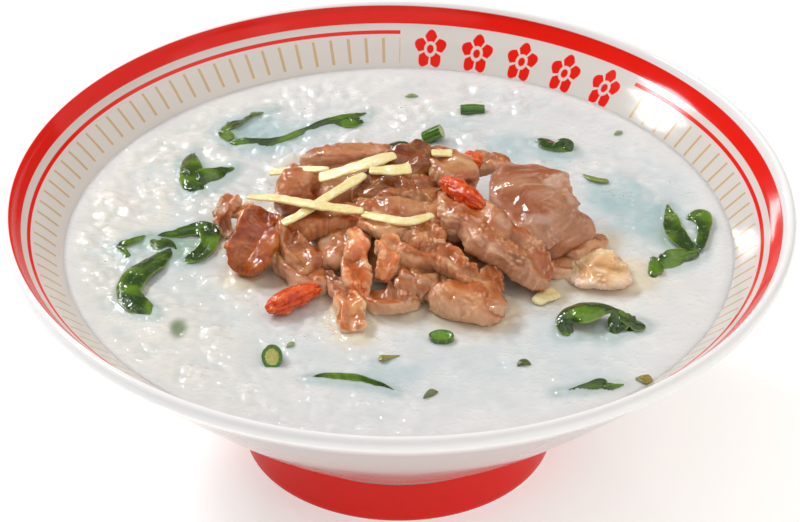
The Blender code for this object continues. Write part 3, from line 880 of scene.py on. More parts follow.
@dataclass(frozen=True)
class Congee:
    """The rice congee: a disc of relief down to a skirt that follows the bowl's wall.

    Sizes are mm. A row of grains is their height, spacing, half length as a share of it, and scatter. A mound is
    (x, y, height, radius), a sunken leaf (x, y, half width, half length), and a spot or a veil (x, y, radius,
    strength).
    """

    grid: int = 288
    edge: float = 99.4
    shore: float = 98.0
    skirt: tuple[Pair, ...] = (
        (97.1, 65.6), (96.4, 64.9), (93.6, 62.4), (85.6, 53.9), (75.6, 44.8), (63.6, 35.9), (51.6, 28.6),
        (39.6, 23.2), (26.6, 20.1), (12.8, 18.9),
    )
    floor: float = 18.85
    grains: Spots = ((0.60, 8.0, 0.75, 11), (0.50, 4.8, 0.72, 12), (0.22, 3.1, 0.7, 13))
    milk: Colour = (0.765, 0.780, 0.785)
    cream: Colour = (0.81, 0.79, 0.745)
    cool: Colour = (0.64, 0.72, 0.745)
    green: Colour = (0.44, 0.57, 0.57)
    broth: Colour = (0.78, 0.69, 0.52)
    rim: Colour = (0.77, 0.765, 0.755)
    # Painted light: the congee is made lighter in the last few mm by the wall.
    shore_painted_light: Colour = (1.16, 1.12, 1.06)
    # Painted shade: darker and warmer on the left, darker towards the back; painted light: lighter on the right.
    left_painted_shade: Colour = (0.94, 0.935, 0.875)
    back_painted_shade: Colour = (0.955, 0.975, 0.985)
    right_painted_light: float = 1.10
    rim_blend: Pair = (90.0, 97.5)
    calm_shore: Pair = (89.0, 95.0)
    flat_shore: Pair = (93.5, 97.0)
    sunk_green: Colour = (0.12, 0.20, 0.06)
    sunken: Spots = ((-62.5, -42, 3.4, 6.0),)
    cool_spots: Spots = (
        (-45, 58, 12, 1.0), (-36, 52, 8, 0.8), (-66, -5, 14, 0.8), (-62, 10, 9, 0.6), (68, 20, 15, 1.0),
        (80, 30, 12, 0.7), (38, 52, 10, 0.8), (20, -58, 22, 0.55), (50, -62, 18, 0.6), (-5, -64, 16, 0.4),
        (62, 0, 12, 0.5), (-30, 62, 14, 0.6), (40, -40, 14, 0.5), (-20, -50, 14, 0.25),
    )
    mounds: Spots = (
        (-55.5, 50, 1.3, 3.2), (-51.5, 46, 0.9, 2.6), (-33, 45, 1.2, 3.0), (-27.5, 47.5, 1.4, 3.4),
        (-21.5, 50, 1.1, 2.6), (-37, 41.5, 0.9, 2.6), (-15, 58, 0.9, 2.4), (22, 60, 0.9, 2.6),
        (-60, 14, 0.7, 2.8), (-75, -8, 0.8, 2.6), (84.6, 7.5, 1.0, 1.8),
    )
    veil: Colour = (0.30, 0.46, 0.35)
    veils: Spots = (
        (-62.5, -2.0, 5.5, 0.75), (-67.5, 2.0, 4.5, 0.8), (-58.8, 1.5, 4.5, 0.75), (-74, 0.5, 4.0, 0.6),
        (-49.5, 60.5, 4.5, 0.45), (-56, 37.5, 3.6, 0.45), (77, 5, 6.0, 0.3), (55, -43, 5.0, 0.3),
    )
    teal: Colour = (0.42, 0.58, 0.605)
    teal_spots: Spots = (
        (-47, 61, 9, 0.8), (-38, 58, 9, 0.6), (71, 13, 12, 0.85), (64, 27, 11, 0.8), (31, 49, 10, 0.6),
        (45, 47, 7, 0.4), (-4, -65, 9, 0.5), (-66, -1, 7, 0.6), (57, -42, 7, 0.5), (14, 62, 8, 0.3),
        (-62, 38, 8, 0.3),
    )
    warm_spots: Spots = (
        (-80, 30, 26, 0.8), (-50, 80, 24, 0.5), (-70, -50, 26, 0.6), (0, 80, 30, 0.4), (78, -30, 20, 0.3),
    )

    def disc(self) -> tuple[Array, Array]:
        """A square grid bent into a disc: each concentric square becomes a circle.

        Returns:
            The points, (grid, grid, 2), and the indices of the outer ones in order round the edge.
        """
        u, v = np.meshgrid(*[np.linspace(-1, 1, self.grid)] * 2, indexing="ij")
        wide = np.abs(u) > np.abs(v)
        radius = np.where(wide, u, v) * self.edge
        turn = np.where(wide, math.pi / 4 * v / u, math.pi / 2 - math.pi / 4 * u / v)
        order = np.arange(self.grid**2).reshape(self.grid, self.grid)
        rim = np.concatenate([order[:-1, 0], order[-1, :-1], order[:0:-1, -1], order[0, :0:-1]])
        return np.stack([radius * np.cos(turn), radius * np.sin(turn)], -1), rim

    def relief(self, flat: Array, near: Array) -> tuple[Array, Array]:
        """Height of the surface.

        It is the sum of broad swells, three sizes of soft grains and a few single mounds, calmed near the wall and
        round the greens. It is drawn up where it meets a piece or the wall, by an exponential of the distance.

        Args:
            flat: Points, (n, 2).
            near: Distance to the nearest leaf or slice.

        Returns:
            Heights above the level, and how calm each point is.
        """
        far = np.hypot(flat[:, 0], flat[:, 1])
        cloud = waves(flat, 18, 5)
        calm = np.maximum(step(far, *self.calm_shore), 0.6 * step(-near, -3.0, -0.5))
        calm = np.maximum(calm, 0.75 * step(cloud, 0.0, 0.4))
        calm = np.maximum(calm, 0.6 * step(0.6 * flat[:, 0] - flat[:, 1] + 20 * cloud, 10, 60))
        lumps = sum(tall * grains(flat, size, long, seed) for tall, size, long, seed in self.grains)
        lumps *= 1 + 0.8 * step(flat[:, 1] - 0.6 * flat[:, 0], 15, 70)
        lumps *= 0.4 + 0.6 * step(waves(flat, 15, 8), -0.25, 0.25)
        height = (lumps - 0.35 + 0.12 * waves(flat, 3.4, 3)) * (1 - 0.8 * calm)
        height += 0.30 * waves(flat, 30, 1) * step(-far, -92, -70)
        height += 0.18 * waves(flat, 10, 2) * (1 - step(far, 88, 96))
        height += 0.55 * np.exp(-np.maximum(near, 0) / 0.7)
        for x, y, tall, size in self.mounds:
            away = np.hypot(flat[:, 0] - x, flat[:, 1] - y) + 0.8 * waves(flat, 3.0, 9)
            height += tall * np.exp(-((away / size) ** 2))
        height *= 1 - step(far, *self.flat_shore)
        return height + 0.35 * np.exp((np.minimum(far, self.shore) - self.shore) / 0.5), calm

    def tinted(self, shade: Array, flat: Array, spots: Spots, colour: Colour, ragged: Array) -> Array:
        """Blends a colour in over round spots with ragged edges.

        Args:
            shade: The colours so far.
            flat: Points, (n, 2).
            spots: (x, y, radius, strength) of each spot.
            colour: The colour at a spot's middle.
            ragged: What is added to the distance from a middle.

        Returns:
            The new colours.
        """
        for x, y, size, strength in spots:
            away = np.hypot(flat[:, 0] - x, flat[:, 1] - y) + ragged
            shade = blend(shade, colour, strength * step(-away, -size * 1.35, -size * 0.2))
        return shade

    def colours(self, flat: Array, leaf: Array, meat: Array, height: Array) -> Array:
        """Milky white in broad warm and cool patches, greenish over leaves, brown with broth round the meat, with
        painted shade on the left, back and hollows and painted light on the right and shore.

        Args:
            flat: Points, (n, 2).
            leaf: Distance to the nearest leaf.
            meat: Distance to the nearest slice.
            height: Height of the surface there.

        Returns:
            A colour for each point.
        """
        ragged = 3.5 * waves(flat, 9, 21) + 1.5 * waves(flat, 3.5, 22)
        # Painted shade on the left and towards the back, painted light on the right.
        shade = blend(self.milk, np.array(self.milk) * self.left_painted_shade, step(-flat[:, 0], 10, 85))
        shade = blend(shade, shade * self.back_painted_shade, step(flat[:, 1], 35, 85))
        shade = blend(shade, shade * self.right_painted_light, step(flat[:, 0] - 0.4 * flat[:, 1], 20, 95))
        tints = ((self.warm_spots, self.cream), (self.cool_spots, self.cool), (self.teal_spots, self.teal))
        for spots, colour in tints:
            shade = self.tinted(shade, flat, spots, colour, 1.3 * ragged)
        shade = layered(
            shade,
            # Painted shade: a cool bluish colour in the hollows between lumps.
            (self.cool, 0.5 * step(-height, 0.05, 0.55)),
            (self.green, 0.7 * step(-leaf - 0.35 * ragged, -4.0, 0.0)),
        )
        shade = self.tinted(shade, flat, self.veils, self.veil, 0.4 * ragged)
        for x, y, wide, long in self.sunken:
            away = np.hypot((flat[:, 0] - x) / wide, (flat[:, 1] - y) / long)
            shade = blend(shade, self.sunk_green, 0.85 * step(-away, -1.1, -0.3))
        far = np.hypot(flat[:, 0], flat[:, 1])
        # Painted light: the edge colour is lighter on the right and lighter still by the wall.
        edge = blend(self.rim, np.array(self.rim) * 1.1, step(flat[:, 0], 20, 90))
        edge = np.minimum(edge * blend(WHITE, self.shore_painted_light, step(far, 95.0, 97.8)), 0.95)
        return layered(
            shade,
            (self.cream, 0.6 * step(-meat - 0.8 * ragged, -12, -2)),
            (self.broth, 0.85 * step(-meat - 0.5 * ragged, -6.0, 0.6)),
            (edge, step(far, *self.rim_blend)),
        )

    def build(self, leaves: Sequence[Strip], slices: Sequence[Strip]) -> None:
        """Makes the surface and its skirt, and pours it.

        Args:
            leaves: The greens lying in it.
            slices: The meat standing in it.
        """
        grid, rim = self.disc()
        flat = grid.reshape(-1, 2)
        leaf, meat = reach(flat, spots_of(leaves, 1.2)), reach(flat, spots_of(slices, 2.0))
        height, calm = self.relief(flat, np.minimum(leaf, meat))
        shade = self.colours(flat, leaf, meat, height)
        order = np.arange(self.grid**2).reshape(self.grid, self.grid)
        quads = np.stack([order[:-1, :-1], order[1:, :-1], order[1:, 1:], order[:-1, 1:]], -1).reshape(-1, 4)
        skirt = np.array(self.skirt)
        heading = unit(flat[rim])
        rings = together(skirt[:, :1] * heading[:, 0], skirt[:, :1] * heading[:, 1], skirt[:, 1:])
        rows = np.concatenate([rim[None], len(flat) + np.arange(len(skirt) * len(rim)).reshape(len(skirt), -1)])
        after = np.roll(rows, -1, 1)
        walls = np.stack([rows[:-1], rows[1:], after[1:], after[:-1]], -1).reshape(-1, 4)
        pole = len(flat) + rings.shape[0] * len(rim)
        cap = np.stack([after[-1], rows[-1], np.full(len(rim), pole)], -1)
        points = np.concatenate([np.column_stack([flat, LEVEL + height]), rings.reshape(-1, 3), [(0, 0, self.floor)]])
        more = pole + 1 - len(flat)
        skin = Skin(points, [quads, walls, cap], np.concatenate([shade, np.tile(self.milk, (more, 1))]))
        skin.marks["calm"] = np.concatenate([calm, np.ones(more)])
        skin.put("congee_surface", "rice_congee", Porridge().material(), ["congee"])


class Grain(Enum):
    """How a slice of pork looks.

    The numbers are the heights in mm of its swellings, creases, knobs and fibres, how square its section is,
    how blunt its ends are, how ragged its edges are, and how much of it is red and how pale its verge is.
    """

    SMOOTH = (0.40, 0.05, 0.03, 0.03, 5.0, 14.0, 0.4, 0.95, 0.75)
    FIBROUS = (0.75, 0.55, 0.12, 0.10, 3.4, 10.0, 1.0, 0.95, 0.75)
    BUMPY = (0.7, 0.30, 0.65, 0.05, 3.0, 9.0, 1.0, 0.95, 0.75)
    PATTY = (0.60, 0.06, 0.50, 0.0, 2.2, 3.0, 0.4, 0.6, 0.3)


@dataclass(frozen=True)
class Slice:
    """One torn slice of braised pork. Sizes are mm."""

    name: str
    strip: Strip
    grain: Grain = Grain.FIBROUS
    seed: int = 0
    tone: Colour = (1.0, 1.0, 1.0)
    flesh: Colour = (0.56, 0.255, 0.105)
    red: Colour = (0.43, 0.115, 0.024)
    # deep is painted shade, used in creases and on undersides.
    deep: Colour = (0.22, 0.065, 0.012)
    pale: Colour = (0.82, 0.52, 0.33)
    film: Colour = (0.84, 0.68, 0.48)
    lightest: Colour = (0.90, 0.66, 0.48)
    sway: tuple[float, float, float] = (1.5, 1.5, 1.0)
    fine: tuple[int, int] = (150, 108)
    coarse: tuple[int, int] = (96, 72)
    large: float = 14.0

    def swayed(self, points: Array) -> Array:
        """The points moved by broad waves in space."""
        return points + drift(points, 10.0, 35) * self.sway

    def valley(self, across: Array, out: Array, along: Array) -> Array:
        """The fold along the top, a bell across the slice: a valley that comes and goes, a shallow one, or a ridge.

        Args:
            across: From -1 at one edge to 1 at the other.
            out: From -1 below to 1 on top.
            along: How far along the slice.

        Returns:
            How deep the fold is at each point.
        """
        fold = 0.5 * waves(together(along, 0.0), 9.0, 31)
        if self.grain is Grain.PATTY:
            bell = 0.25 * np.exp(-((across / 0.5) ** 2))
        elif self.grain is Grain.SMOOTH:
            bell = -0.8 * np.exp(-(((across - 0.4 * fold - 0.3) / 0.35) ** 2))
        else:
            bell = np.exp(-(((across - fold) / 0.42) ** 2)) * step(waves(together(along, 5.0), 10.0, 32), -0.45, 0.1)
        return bell * step(out, 0.1, 0.9)

    def bent(self, shares: Array, swell: Array, sides: int, square: float) -> Array:
        """The slab before its fine surface, with a fold along its top and torn edges, bent by broad waves in space.

        Args:
            shares: Where each ring stands.
            swell: Each ring's size.
            sides: Points round a ring.
            square: How square the section is.

        Returns:
            The rings, (shares, sides, 3).
        """
        rings = self.strip.rings(shares, swell, sides, square)
        middle, side, up, values = self.strip.frame(shares)
        away = rings - middle[:, None]
        half = values[:, 3:4] / 2 * swell[:, None]
        across = np.sum(away * side[:, None], -1) / np.maximum(half, 0.2)
        out = np.sum(away * up[:, None], -1) / np.maximum(values[:, 4:5] / 2, 0.2)
        along = np.broadcast_to(shares[:, None] * self.strip.length(), across.shape) + self.seed * 17.3
        torn = self.grain.value[6]
        edge = together(along, 9 * np.sign(across))
        tear = torn * waves(edge, 3.6, 33) + 0.5 * torn * waves(edge, 1.7, 34)
        deepest = np.minimum(0.34 * values[:, 4:5], 2.4)
        sink = self.valley(across, out, along) * deepest * np.minimum(1, swell)[:, None]
        reach_out = np.minimum(0.26 * half, 1.5) * tear * np.sign(across) * np.abs(across) ** 2
        curl = 0.7 * np.minimum(1, half / 3) * tear * np.abs(across) ** 3
        rings = rings - up[:, None] * sink[..., None]
        rings = rings + side[:, None] * reach_out[..., None]
        rings = rings + up[:, None] * curl[..., None]
        return self.swayed(rings)

    def skin(self) -> Skin:
        """The bent slab with its surface pushed out and in.

        The push is the sum of swellings, of rounded lumps with creases between them (the size of a wave, not its
        sign), of knobs, and of fibres drawn out along the slice. The colour carries painted shade in the creases and
        underneath, and paler knobs, ridges and upper faces that are partly painted highlight.

        Returns:
            The closed surface with its colours.
        """
        widths = [width for *_, width, _, _ in self.strip.stations]
        rows, sides = self.fine if max(widths) > self.large else self.coarse
        lumps, creases, knobs_high, fibres, square, blunt, _, reddened, paled = self.grain.value
        shares, swell = rounded(rows, blunt)
        rings = self.bent(shares, swell, sides, square)
        normal = outward(rings)
        shift = np.array((self.seed * 13.7, self.seed * 5.1, self.seed * 9.3))
        spot = rings + shift
        warped = spot + 1.5 * drift(spot, 6.0, 37)
        turn = np.linspace(0, 1, sides, endpoint=False) * 2 * math.pi
        girth = float(np.mean(widths)) / 2
        thread = rolled(shares * self.strip.length() / 5.0, girth, turn) + shift + 0.25 * (warped - spot)
        swellings = waves(warped, 8.0, 41)
        folds = np.abs(waves(warped, 6.5, 42)) + 0.35 * np.abs(waves(warped, 2.8, 48))
        knobs = grains_in_space(warped, 1.4, 43)
        strands = waves(thread, 1.2, 44) + 0.3 * waves(thread, 0.6, 45)
        fine = waves(warped, 1.0, 46)
        patch = step(waves(spot, 6.5, 47), -0.2, 0.25)
        push = lumps * swellings + creases * (0.75 - 1.7 * folds) + knobs_high * knobs * (0.35 + 0.65 * patch)
        push = push + fibres * strands + 0.03 * fine
        points = rings + normal * (push * np.minimum(1, swell * 1.8)[:, None])[..., None]
        low = points[..., 2] - LEVEL
        verge = np.broadcast_to(np.abs(np.cos(turn + math.pi / sides)), (rows, sides))
        blush = waves(spot, 11.0, 51) + 0.3 * waves(spot, 5.0, 55)
        milky = step(-low + waves(spot, 3.0, 53), -2.4, 0.0) * step(low, -1.0, 0.1)
        shade = layered(
            self.flesh,
            (self.red, reddened * step(blush, -0.3, 0.3)),
            # Painted shade: darker in the creases.
            (self.deep, 0.55 * step(folds, 0.4, 0.9)),
            (self.pale, paled * step(verge + 0.2 * waves(spot, 4.0, 56), 0.62, 1.0)),
            # Paler knobs and ridges: partly the meat's own paler skin, partly painted highlight.
            (self.pale, 0.55 * step(knobs * patch, 0.35, 0.9) + 0.3 * step(-folds, -0.14, 0.0)),
            # Painted shade: darker on undersides just above the congee.
            (self.deep, 0.55 * step(-normal[..., 2], -0.2, 0.7) * step(low, 1.0, 4.0)),
            (self.film, 0.7 * milky),
            # Pale patches on upward faces: partly broth film, partly painted sheen.
            (self.film, 0.35 * step(waves(spot, 6.0, 54), 0.3, 0.6) * step(normal[..., 2], 0.3, 0.9)),
        )
        shade = np.minimum(shade * self.tone, self.lightest)
        return Skin.of_rings(points, self.swayed(self.strip.ends()), shade, shade[[0, -1]].mean(1))


def solids(name: str) -> list[str]:
    """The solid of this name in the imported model, if it has one."""
    return [name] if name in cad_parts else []


@dataclass(frozen=True)
class Heap:
    """The heap of pork slices and the soaked mound under it.

    The base gives the mound's x, y, half width, half depth, and how far it goes up and down from the level, in mm.
    """

    slices: tuple[Slice, ...]
    base: tuple[float, ...] = (4.0, -2.0, 36.0, 18.0, 7.5, 3.0)
    grid: tuple[int, int] = (60, 120)
    soaked: Colour = (0.58, 0.27, 0.115)
    # Painted shade for the mound's creases.
    crease_shade: Colour = (0.38, 0.145, 0.05)
    film: Colour = (0.74, 0.60, 0.45)
    meat: Moist = Moist(
        "cooked_pork", gloss=(0.35, 0.55), mottle=(0.07, 1.2), pits=(0.08, 0.8), ripples=(0.15, 2.2),
        sink=(0.4, 1.8), sink_tint=(1.0, 0.45, 0.2), coat=(0.9, 0.06), shine=0.2, glints=(0.3, 2.2),
    )

    def mound(self) -> Skin:
        """A low dome.

        Its x and y are the cosine and sine of the turn times the cosine of the rise, its z is the sine of the rise,
        and waves roughen it.

        Returns:
            The closed surface with its colours.
        """
        x, y, wide, deep, high, low = self.base
        rise = np.linspace(-1.45, 1.45, self.grid[0])[:, None]
        turn = around(self.grid[1])
        tall = np.sin(rise) * np.where(rise > 0, high, low)
        level = np.cos(rise)
        rings = together(x + wide * level * np.cos(turn), y + deep * level * np.sin(turn), LEVEL + tall)
        folds = np.abs(waves(rings, 7.0, 61)) + 0.3 * np.abs(waves(rings, 3.0, 62))
        rings[..., 2] += 1.2 - 2.4 * folds
        poles = np.array([(x, y, LEVEL - low), (x, y, LEVEL + high)])
        wet = step(LEVEL - rings[..., 2], -4.8, -1.5)
        # Painted shade darkens the creases; the film near the level is wet broth.
        shade = layered(self.soaked, (self.crease_shade, step(folds, 0.1, 0.7)), (self.film, wet))
        return Skin.of_rings(rings, poles, shade, shade[[0, -1]].mean(1))

    def build(self) -> None:
        """Makes the mound and every slice."""
        finish = self.meat.material()
        self.mound().put("pork_mound", "cooked_pork", finish, ["pork_hidden"])
        for piece in self.slices:
            piece.skin().put(f"slice_{piece.name}", "cooked_pork", finish, solids(f"pork_{piece.name}"))


@dataclass(frozen=True)
class Berry:
    """One soaked goji berry, wrinkled along its length. Sizes are mm."""

    name: str
    strip: Strip
    bright: Colour = (0.80, 0.10, 0.008)
    # Painted shade for the folds; glow is a lighter orange for the crests, partly painted highlight.
    crease_shade: Colour = (0.52, 0.028, 0.003)
    glow: Colour = (0.90, 0.28, 0.035)
    tip: Colour = (0.5, 0.2, 0.05)
    wrinkle: float = 0.50
    grid: tuple[int, int] = (90, 72)
    seed: int = 0

    def skin(self) -> Skin:
        """An oval body with folds that run lengthwise: waves stretched along the berry push its surface in, and its
        colour is painted darker in the folds and lighter orange on the crests, as painted shade and partly painted
        highlight.

        Returns:
            The closed surface with its colours.
        """
        rows, sides = self.grid
        shares, swell = rounded(rows, 3.6)
        rings = self.strip.rings(shares, swell, sides, 2.2)
        normal = outward(rings)
        place = rolled(shares * self.strip.length() / 2.6, 2.9, around(sides)) + self.seed * 7.7
        place = place + 0.5 * waves(rings, 2.4, 70)[..., None]
        folds = np.abs(waves(place, 1.8, 71))
        fine = waves(place, 0.55, 72)
        dimples = waves(rings + self.seed, 1.3, 73)
        push = self.wrinkle * (1.9 * folds - 0.8) + 0.07 * fine + 0.24 * dimples
        points = rings + normal * (push * np.minimum(1, 1.5 * swell)[:, None])[..., None]
        # Painted shade in the folds and partly painted highlight on the crests.
        crest_highlight = 0.7 * step(folds + 0.3 * dimples, 0.35, 0.85)
        shade = layered(self.bright, (self.crease_shade, step(-folds, -0.2, 0.0)), (self.glow, crest_highlight))
        return Skin.of_rings(points, self.strip.ends(), shade, self.tip)


@dataclass(frozen=True)
class Shred:
    """One shred of ginger: a thin square-edged strip with fibres along it. Sizes are mm."""

    name: str
    strip: Strip
    flesh: Colour = (0.94, 0.76, 0.33)
    pale: Colour = (0.97, 0.86, 0.50)
    broader: float = 1.15
    flatness: float = 0.45
    turn: float = 8.0
    grid: tuple[int, int] = (90, 56)

    def skin(self) -> Skin:
        """A thin box with rounded edges whose faces carry fine lengthwise ridges.

        Returns:
            The closed surface with its colours.
        """
        rows, sides = self.grid
        shares, swell = rounded(rows, 16.0)
        thin = strand(*(
            (*place, width * self.broader, thickness * self.flatness, roll + self.turn)
            for *place, width, thickness, roll in self.strip.stations
        ))
        rings = thin.rings(shares, swell, sides, 3.4)
        uneven = waves(together(shares * thin.length(), float(len(self.name))), 4.0, 83)[:, None, None]
        rings = rings + (rings - rings.mean(1, keepdims=True)) * 0.22 * uneven
        normal = outward(rings)
        thread = rolled(shares * self.strip.length() / 9.0, 1.3, around(sides)) + len(self.name) * 3.1
        strands = waves(thread, 0.42, 81)
        uneven = waves(rings, 3.0, 82)
        points = rings + normal * ((0.10 * strands + 0.16 * uneven) * swell[:, None])[..., None]
        shade = blend(self.flesh, self.pale, step(strands + 0.6 * uneven, -0.3, 0.7))
        return Skin.of_rings(points, self.strip.ends(), shade, self.pale)


@dataclass(frozen=True)
class Leaf:
    """One wilted leaf: one or more strips of thin, crinkled green. Sizes are mm."""

    name: str
    strips: tuple[Strip, ...]
    thickness: float = 0.55
    crinkle: float = 0.3
    green: Colour = (0.020, 0.060, 0.002)
    # bright is partly painted light on raised puckers; edge is a painted highlight on the curled rim.
    bright: Colour = (0.125, 0.26, 0.007)
    edge: Colour = (0.26, 0.38, 0.04)
    film: Colour = (0.36, 0.50, 0.42)
    filmed: float = 0.35
    seed: int = 0
    grid: tuple[int, int] = (110, 64)

    def blade(self, strip: Strip) -> Skin:
        """One strip: a thin oval carried along it.

        Soft puckers and slanting ribs lift its upper and lower face alike, and its edge is slightly wavy and painted
        paler, a painted highlight where it curls.

        Args:
            strip: The strip.

        Returns:
            Its closed surface.
        """
        rows, sides = self.grid
        shares, swell = rounded(rows, 2.6)
        middle, side, up, values = strip.frame(shares)
        across, out = np.cos(halfway(sides)), np.sin(halfway(sides))
        offset = across * values[:, 3:4] / 2
        along = np.broadcast_to(shares[:, None] * strip.length(), offset.shape)
        flat = together(along, offset) + self.seed * 31.7
        wavy = 1 + 0.14 * waves(together(along + self.seed * 9, np.sign(across) * 9), 3.4, 91) * np.abs(across)
        half_w = (values[:, 3] / 2 * swell)[:, None] * wavy
        ribs = waves(together(along + 0.9 * np.abs(offset) + self.seed, 0.2 * offset), 1.5, 92)
        puckers = waves(flat, 4.6, 93) + 0.4 * waves(flat, 2.1, 94)
        soft = np.minimum(1, swell * 1.6)[:, None]
        vein = 0.1 * np.exp(-((offset / 0.4) ** 2))
        lift = strip.cup * half_w * across**2 + self.crinkle * (puckers + 0.3 * ribs) * soft - vein * soft
        thick = self.thickness / 2 * np.minimum(1, 2 * swell)[:, None] * out
        points = carried(middle, side, up, half_w * across, lift + thick)
        low = points[..., 2] - LEVEL
        shade = layered(
            self.green,
            # Brighter green in broad patches and on raised puckers: partly the leaf's own colour, partly painted
            # light.
            (self.bright, 0.85 * step(waves(flat, 8.0, 95) + 0.35 * puckers, -0.25, 0.55)),
            # Paler edge: painted highlight where the curled edge catches light; the paler ribs are the leaf's veins.
            (self.edge, 0.75 * step(np.abs(across), 0.86, 1.0) + 0.1 * step(ribs, 0.4, 0.9)),
            (self.film, self.filmed * step(-low + 0.5 * waves(points, 2.5, 96), -0.35, 0.25)),
        )
        return Skin.of_rings(points, strip.ends(), shade, self.green)

    def skin(self) -> Skin:
        """All the strips as one surface.

        Returns:
            The joined surface.
        """
        whole = self.blade(self.strips[0])
        for strip in self.strips[1:]:
            whole = whole.joined(self.blade(strip))
        return whole


class Cut(Enum):
    """What a chive's cut end shows.

    The values are its depth in mm, the wall's inner radius as a share, and the colours of the middle, the inner
    wall and the cut rim. HOLLOW's dark middle and inner wall are painted shade inside the tube.
    """

    # Painted shade: the dark middle and inner wall stand for the shade inside the tube.
    HOLLOW = (1.4, 0.78, (0.04, 0.10, 0.012), (0.06, 0.15, 0.012), (0.26, 0.40, 0.08))
    PALE = (0.25, 0.84, (0.50, 0.55, 0.17), (0.42, 0.50, 0.14), (0.20, 0.36, 0.04))
    POOL = (0.5, 0.72, (0.56, 0.56, 0.13), (0.12, 0.30, 0.010), (0.05, 0.19, 0.005))
    RIBBED = (0.5, 0.84, (0.10, 0.26, 0.012), (0.17, 0.38, 0.02), (0.045, 0.12, 0.008))


@dataclass(frozen=True)
class Chive:
    """A cut piece of chive or green onion: a tube whose end shows its wall and its middle. Sizes are mm."""

    name: str
    strip: Strip
    cut: Cut = Cut.HOLLOW
    outside: Colour = (0.045, 0.15, 0.005)
    light: Colour = (0.13, 0.33, 0.015)
    sides: int = 56

    def skin(self) -> Skin:
        """A profile carried along the tube.

        It starts in the recessed middle, goes out across the cut wall and along the outside, and ends likewise.

        Returns:
            The closed surface with its colours.
        """
        depth, wall, middle, inner, rim = self.cut.value
        sunk = min(0.4, depth / max(self.strip.length(), 0.1))
        ends = [
            (sunk, 0.03), (sunk, 0.4), (sunk, wall - 0.06), (sunk * 0.75, wall - 0.02), (sunk * 0.3, wall),
            (0.004, wall + 0.02), (0.0, wall + 0.05), (0.0, 0.95), (0.012, 0.99), (0.05, 1.0),
        ]
        tube = [(t, 1.0) for t in np.linspace(0.1, 0.9, 14)]
        path = np.array(ends + tube + [(1 - t, size) for t, size in ends[::-1]])
        rings = self.strip.rings(path[:, 0], path[:, 1], self.sides, 2.0)
        circle = together(np.cos(around(self.sides)), np.sin(around(self.sides)))
        ridges = np.broadcast_to(waves(2.2 * circle, 0.5, 101), rings.shape[:2])
        centre = rings.mean(1, keepdims=True)
        rings = centre + (rings - centre) * (1 + 0.035 * ridges + 0.06 * waves(rings, 3.0, 102))[..., None]
        tones = [middle] * 3 + [inner] * 2 + [rim] * 3 + [self.outside] * 2
        tones = np.array(tones + [self.outside] * len(tube) + tones[::-1])
        shade = tones[:, None] * (1 + 0.28 * ridges[..., None])
        body = np.array([0.0] * 8 + [1.0] * (len(tube) + 4) + [0.0] * 8)
        shade = blend(shade, self.light, body[:, None] * step(ridges, 0.0, 0.7))
        return Skin.of_rings(rings, self.strip.ends(sunk, 1 - sunk), shade, middle)


@dataclass(frozen=True)
class Garnish:
    """Everything laid on the congee apart from the meat."""

    berries: tuple[Berry, ...]
    shreds: tuple[Shred, ...]
    leaves: tuple[Leaf, ...]
    chives: tuple[Chive, ...]
    bits: tuple[Leaf, ...]
    berry: Moist = Moist(
        "goji_berry", gloss=(0.15, 0.3), mottle=(0.2, 0.8), pits=(0.08, 0.5), ripples=(0.1, 1.6),
        sink=(0.35, 1.2), sink_tint=(1.0, 0.2, 0.05), coat=(0.6, 0.07), shine=0.2, glints=(0.2, 1.2),
    )
    ginger: Moist = Moist(
        "ginger", gloss=(0.25, 0.4), mottle=(0.07, 1.0), pits=(0.05, 0.5), ripples=(0.08, 1.5),
        sink=(0.4, 1.5), sink_tint=(1.0, 0.8, 0.4), coat=(0.4, 0.15),
    )
    blade: Moist = Moist(
        "green_leaf", gloss=(0.2, 0.38), mottle=(0.10, 1.3), pits=(0.08, 0.6), ripples=(0.22, 1.7),
        sink=(0.08, 0.6), sink_tint=(0.4, 1.0, 0.15), coat=(1.0, 0.05), shine=0.15, glints=(0.28, 1.8),
    )
    stem: Moist = Moist(
        "chive", gloss=(0.2, 0.35), mottle=(0.15, 0.8), pits=(0.06, 0.4), ripples=(0.05, 1.2),
        sink=(0.25, 0.8), sink_tint=(0.6, 1.0, 0.25), coat=(0.7, 0.1),
    )

    def build(self) -> None:
        """Makes every piece."""
        for finish, pieces in (
            (self.berry, self.berries), (self.ginger, self.shreds),
            (self.blade, self.leaves), (self.stem, self.chives + self.bits),
        ):
            material = finish.material()
            for piece in pieces:
                piece.skin().put(f"{piece.name}_food", finish.name, material, solids(piece.name))


@dataclass(frozen=True)
class Lamp:
    """A soft lamp: where its light comes from, its distance and side in metres, and its power in watts.

    It points at the spot of the axis whose height in metres is aim.
    """

    name: str
    direction: tuple[float, float, float]
    distance: float
    side: float
    power: float
    colour: Colour = WHITE
    aim: float = 0.06

    def build(self) -> None:
        """Hangs the lamp, turned towards the bowl."""
        light = bpy.data.lights.new(self.name, "AREA")
        light.shape, light.size, light.energy, light.color = "SQUARE", self.side, self.power, self.colour
        back = unit(np.array(self.direction))
        side = unit(np.cross(UP, back))
        stand(placed(self.name, light), back * self.distance + self.aim * UP, side, np.cross(back, side), back)


